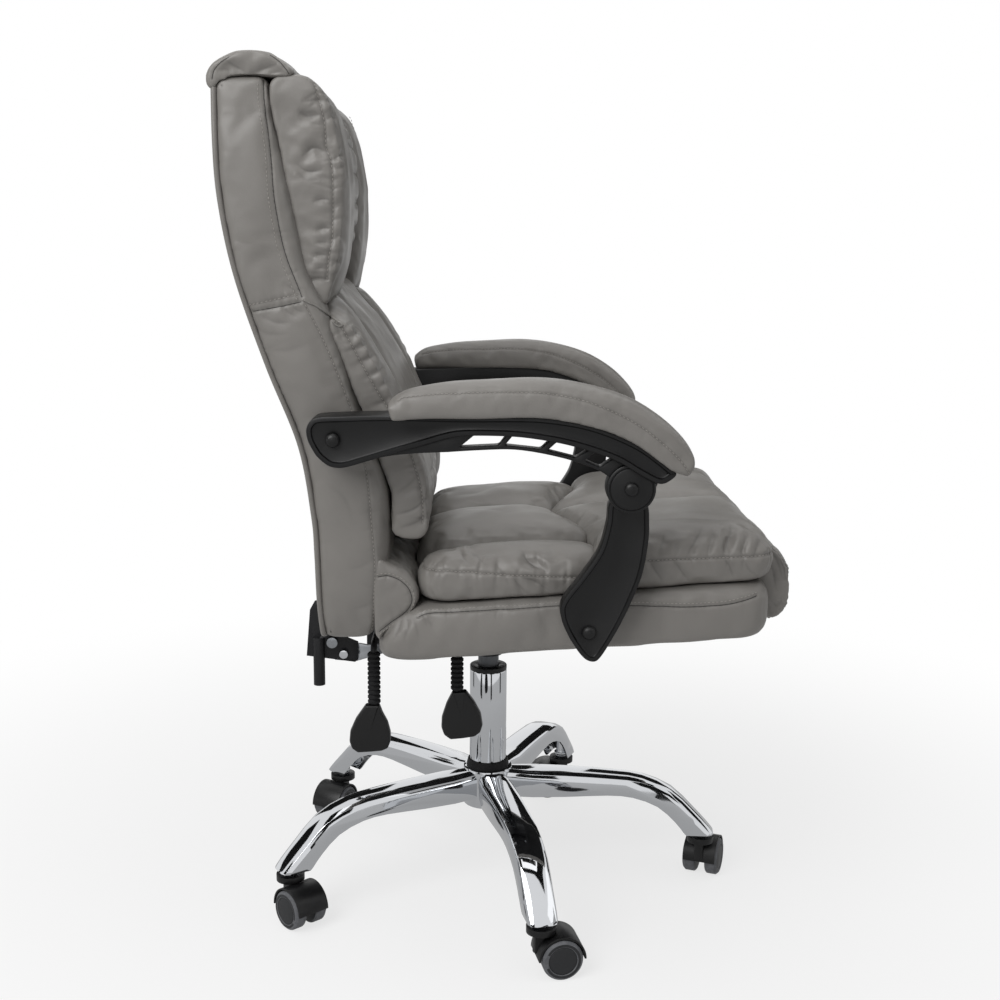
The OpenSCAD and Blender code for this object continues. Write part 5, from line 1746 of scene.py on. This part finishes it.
class CHAIR_OT_hardware(ChairOperator):
    """Mechanism, levers, boards, brackets and bolts."""

    bl_idname = "chair.hardware"
    bl_label = "Hardware"

    def execute(self, context):
        bodies = {n: b for b, names in frame["record"]["behaviour"]["bodies"].items() for n in names}
        for node, key in KEPT.items():
            dressed(node, node + "_part", key, bodies[node], 0.4)
        for lever in ("lift", "lock"):
            low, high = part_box(lever + "_paddle")
            middle = (low[0] + high[0]) * 500
            half = max((high[0] - low[0]) * 500, 3.5)
            grip = pebble(lever + "_grip", photo_plane(PADDLES[lever], middle), middle - half, middle + half)
            finished(grip, "nylon", lever + "_lever", lever + "_paddle")
            dressed(lever + "_sleeve", lever + "_bellows", "rubber", lever + "_lever", 0)
        return {"FINISHED"}


def stitch_mesh(length, radius):
    """One stitch: a short rounded length of thread along Z."""
    profile = [(0, -0.5), (0.62, -0.42), (1, -0.2), (1, 0.2), (0.62, 0.42), (0, 0.5)]
    count = 6
    t = np.linspace(0, 2 * math.pi, count, endpoint=False)
    rings = [np.column_stack([r * radius * np.cos(t), r * radius * np.sin(t), np.full(count, h * length)])
             for r, h in profile[1:-1]]
    points = np.vstack([np.vstack(rings), [[0, 0, -length / 2]], [[0, 0, length / 2]]])
    mesh = bpy.data.meshes.new("stitch")
    mesh.from_pydata(points.tolist(), [], ring_faces(len(rings), count))
    return link("stitch", outward(mesh))


def socket_id(tree, name):
    return next(i.identifier for i in tree.interface.items_tree if i.name == name and i.in_out == "INPUT")


def row_tree(name, **inputs):
    """A Geometry Nodes tree on rows, with its named inputs; returns it and its input sockets."""
    tree = bpy.data.node_groups.new(name, "GeometryNodeTree")
    for key, kind in {"Rows": "Geometry", **inputs}.items():
        tree.interface.new_socket(key, in_out="INPUT", socket_type="NodeSocket" + kind)
    tree.interface.new_socket("Sewing", in_out="OUTPUT", socket_type="NodeSocketGeometry")
    return tree, add(tree, "NodeGroupInput").outputs


def ended(tree, geometry, material):
    """Ends a tree: makes its instances real and sets their material."""
    real = add(tree, "GeometryNodeRealizeInstances", {0: geometry}).outputs
    painted = add(tree, "GeometryNodeSetMaterial", {0: real[0], "Material": material}).outputs
    add(tree, "NodeGroupOutput", {"Sewing": painted[0]})
    return tree


def stitch_tree():
    """Sets a stitch at each pitch along the rows."""
    tree, start = row_tree("stitch_rows", Pitch="Float", Stitch="Object", Thread="Material")
    points = add(tree, "GeometryNodeCurveToPoints", {"Curve": start["Rows"], "Length": start["Pitch"]},
                 mode="LENGTH").outputs
    stitch = add(tree, "GeometryNodeObjectInfo", {"Object": start["Stitch"]}).outputs
    sewing = add(tree, "GeometryNodeInstanceOnPoints", {
        "Points": points["Points"], "Instance": stitch["Geometry"], "Rotation": points["Rotation"]}).outputs
    return ended(tree, sewing[0], start["Thread"])


def seam_tree():
    """Sweeps a tube along the rows, for the painted shadow in the seams and for the piping."""
    tree, start = row_tree("seam_edges", Radius="Float", Edge="Material")
    profile = add(tree, "GeometryNodeCurvePrimitiveCircle", {
        "Resolution": 6, "Radius": start["Radius"]}).outputs
    tube = add(tree, "GeometryNodeCurveToMesh", {
        "Curve": start["Rows"], "Profile Curve": profile[0], "Fill Caps": True}).outputs
    return ended(tree, tube[0], start["Edge"])


def row_curve(name, lines):
    """Curve object with one run for each row."""
    data = bpy.data.curves.new(name, "CURVE")
    data.dimensions = "3D"
    for line in lines:
        points = world(line)
        part = data.splines.new("POLY")
        part.points.add(len(points) - 1)
        weighted = np.column_stack([points, np.ones(len(points))])
        part.points.foreach_set("co", weighted.astype(np.float32).ravel())
    return link(name, data)


def grown(name, source, tree, inputs):
    """Mesh that a Geometry Nodes tree makes on a source object."""
    modifier = source.modifiers.new("nodes", "NODES")
    modifier.node_group = tree
    for key, value in inputs.items():
        modifier[socket_id(tree, key)] = value
    mesh = evaluated_mesh(source)
    mesh.name = name
    bpy.data.objects.remove(source)
    return link(name, mesh)


class CHAIR_OT_sewing(ChairOperator):
    """Rows of stitches and the nearly black tubes of painted shadow in the seams on every cover, and the
    piping.
    """

    bl_idname = "chair.sewing"
    bl_label = "Sewing"

    def execute(self, context):
        settings = context.scene.chair_upholstery
        stitch = stitch_mesh(settings.pitch * 0.66, settings.thread / 2)
        trees = stitch_tree(), seam_tree()
        for body, lines in rows["stitch"].items():
            obj = grown("stitches_" + body, row_curve("rows_" + body, lines), trees[0], {
                "Pitch": settings.pitch, "Stitch": stitch, "Thread": finish("thread")})
            for face in obj.data.polygons:
                face.use_smooth = True
            placed(obj, body, "thread")
        # Seam rows get a thin nearly black tube of painted shadow; piping rows get a leather tube
        for kind, radius, key in (("seam", settings.thread * 0.42, "seam"), ("piping", 0.0011, "leather")):
            for body, lines in rows[kind].items():
                obj = grown(f"{kind}_edges_{body}", row_curve(f"{kind}_rows_{body}", lines), trees[1], {
                    "Radius": radius, "Edge": finish(key)})
                placed(obj, body, key)
        bpy.data.objects.remove(stitch)
        return {"FINISHED"}


# Lamps: name, place, target, size, and share of the key lamp's power
LAMPS = [
    ("key_lamp", (-2.1, 1.5, 2.5), (0, 0, 0.6), (2.0, 2.0), 1.0),
    ("top_lamp", (0.1, 0.0, 3.1), (0, 0, 0.5), (2.4, 2.4), 0.45),
    ("front_lamp", (-0.9, -2.5, 1.9), (0, 0, 0.6), (2.0, 1.6), 0.08),
]


def area_lamp(name, place, target, size, power):
    data = bpy.data.lights.new(name, "AREA")
    data.shape = "RECTANGLE"
    data.size, data.size_y = size
    data.energy = power
    lamp = bpy.data.objects.new(name, data)
    bpy.context.scene.collection.objects.link(lamp)
    lamp.location = place
    lamp.rotation_euler = (Vector(target) - Vector(place)).to_track_quat("-Z", "Y").to_euler()
    return lamp


def flat_panel(name, corners, colour):
    """Dark panel of the studio that only polished surfaces see."""
    mesh = bpy.data.meshes.new(name)
    mesh.from_pydata(corners, [], [(0, 1, 2, 3)])
    obj = link(name, mesh)
    made, _, _, _ = started(name + "_cloth", linear(colour), 1.0)
    obj.data.materials.append(made)
    obj.visible_camera = obj.visible_diffuse = obj.visible_shadow = obj.visible_transmission = False
    return obj


def card_ring(name, count, start, end, radius, low, high, colour):
    """Broken ring of upright dark cards, each from start to end degrees of its share of the circle."""
    for k in range(count):
        turns = [math.radians(k * 360 / count + turn) for turn in (start, end)]
        near, far = [(math.cos(turn) * radius, math.sin(turn) * radius) for turn in turns]
        flat_panel(f"{name}_{k + 1}", [(*near, low), (*far, low), (*far, high), (*near, high)], colour)


def calculated(tree, operation, first, second):
    """Result of a Math node on two values."""
    return add(tree, "ShaderNodeMath", {0: first, 1: second}, operation=operation).outputs[0]


def mixed_shaders(tree, share, first, second):
    """Blend of two shaders by a share."""
    return add(tree, "ShaderNodeMixShader", {0: share, 1: first, 2: second}).outputs[0]


def white_light(tree, kind, strength):
    """Output of a white shader of that kind and strength."""
    return add(tree, kind, {"Color": (1, 1, 1, 1), "Strength": strength}).outputs[0]


def seen_share(tree):
    """1 for the rays that show the background: camera, glossy and transmission."""
    path = add(tree, "ShaderNodeLightPath").outputs
    first = calculated(tree, "MAXIMUM", path["Is Camera Ray"], path["Is Glossy Ray"])
    return calculated(tree, "MAXIMUM", first, path["Is Transmission Ray"])


class CHAIR_OT_studio(ChairOperator):
    """Pale floor, soft lamps and the camera."""

    bl_idname = "chair.studio"
    bl_label = "Studio"

    def execute(self, context):
        scene = context.scene
        settings = scene.chair_studio
        mesh = bpy.data.meshes.new("floor")
        mesh.from_pydata([(-14, -14, 0), (14, -14, 0), (14, 14, 0), (-14, 14, 0)], [], [(0, 1, 2, 3)])
        floor = link("floor", mesh)
        made = bpy.data.materials.new("white_floor")
        made.use_nodes = True
        tree = made.node_tree
        tree.nodes.clear()
        matt = add(tree, "ShaderNodeBsdfDiffuse", {"Color": (0.86, 0.86, 0.86, 1)}).outputs[0]
        glow = white_light(tree, "ShaderNodeEmission", 1.0)
        # The floor shows its shadow near the chair and passes into the white backdrop away from it
        place = add(tree, "ShaderNodeTexCoord").outputs["Object"]
        away = add(tree, "ShaderNodeVectorMath", {0: place}, operation="LENGTH").outputs["Value"]
        far = add(tree, "ShaderNodeMapRange", {
            "Value": away, "From Min": 0.45, "From Max": 1.5, "To Min": 0.72, "To Max": 1.0},
            interpolation_type="SMOOTHSTEP").outputs[0]
        both = mixed_shaders(tree, calculated(tree, "MULTIPLY", seen_share(tree), far), matt, glow)
        # Polished surfaces see a greyer floor, so that the chrome gets its mid greys
        glossy = add(tree, "ShaderNodeLightPath").outputs["Is Glossy Ray"]
        dim = white_light(tree, "ShaderNodeEmission", 0.12)
        last = mixed_shaders(tree, calculated(tree, "MULTIPLY", glossy, 0.5), both, dim)
        add(tree, "ShaderNodeOutputMaterial", {"Surface": last})
        floor.data.materials.append(made)

        world_data = bpy.data.worlds.new("studio")
        scene.world = world_data
        world_data.use_nodes = True
        tree = world_data.node_tree
        tree.nodes.clear()
        room = white_light(tree, "ShaderNodeBackground", settings.fill)
        white = white_light(tree, "ShaderNodeBackground", 1.0)
        both = mixed_shaders(tree, seen_share(tree), room, white)
        add(tree, "ShaderNodeOutputWorld", {"Surface": both})

        for name, place, target, size, power in LAMPS:
            area_lamp(name, place, target, size, settings.key * power)
        # Dark cards that only polished surfaces see: a high ring, narrow strips near the floor, a ceiling
        card_ring("dark_card", 8, 8, 37, 4.2, 1.0, 2.9, "#0a0a0a")
        card_ring("dark_strip", 6, 14, 22, 1.9, 0.0, 0.7, "#202020")
        flat_panel("dark_ceiling", [(-1.6, -2.4, 3.6), (1.6, -2.4, 3.6), (1.6, 2.4, 3.6), (-1.6, 2.4, 3.6)],
                   "#101010")

        data = bpy.data.cameras.new("photo_camera")
        data.lens = CAMERA_LENS
        data.sensor_width = SENSOR
        camera = bpy.data.objects.new("photo_camera", data)
        scene.collection.objects.link(camera)
        forward, right, above = camera_axes()
        turn = Matrix((right, above, -forward)).transposed().to_4x4()
        camera.matrix_world = Matrix.Translation(CAMERA_AT) @ turn
        scene.camera = camera
        scene.view_settings.view_transform = "Standard"
        return {"FINISHED"}


class CHAIR_PT_build(bpy.types.Panel):
    """Lists the steps that build the chair."""

    bl_label = "Executive office chair"
    bl_idname = "CHAIR_PT_build"
    bl_space_type = "VIEW_3D"
    bl_region_type = "UI"
    bl_category = "Chair"

    def draw(self, context):
        for operator in OPERATORS:
            self.layout.operator(operator.bl_idname)
        for name in ("chair_upholstery", "chair_frame", "chair_studio"):
            group = getattr(context.scene, name)
            box = self.layout.box()
            for key in group.bl_rna.properties.keys():
                if key not in ("rna_type", "name"):
                    box.prop(group, key)


SETTINGS = {
    "chair_upholstery": UpholsterySettings, "chair_frame": FrameSettings, "chair_studio": StudioSettings,
}
OPERATORS = [
    CHAIR_OT_studio, CHAIR_OT_seat_base, CHAIR_OT_seat_puffs, CHAIR_OT_front_roll, CHAIR_OT_back_body,
    CHAIR_OT_headrest, CHAIR_OT_back_pads, CHAIR_OT_arm_pads, CHAIR_OT_arm_frames, CHAIR_OT_base,
    CHAIR_OT_casters, CHAIR_OT_hardware, CHAIR_OT_sewing,
]


def register():
    for made in [*SETTINGS.values(), *OPERATORS, CHAIR_PT_build]:
        bpy.utils.register_class(made)
    for name, group in SETTINGS.items():
        setattr(bpy.types.Scene, name, bpy.props.PointerProperty(type=group))


def unregister():
    for name in SETTINGS:
        delattr(bpy.types.Scene, name)
    for made in reversed([*SETTINGS.values(), *OPERATORS, CHAIR_PT_build]):
        bpy.utils.unregister_class(made)


def main():
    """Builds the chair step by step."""
    register()
    for operator in OPERATORS:
        group, name = operator.bl_idname.split(".")
        getattr(getattr(bpy.ops, group), name)()


if __name__ == "__main__":
    main()
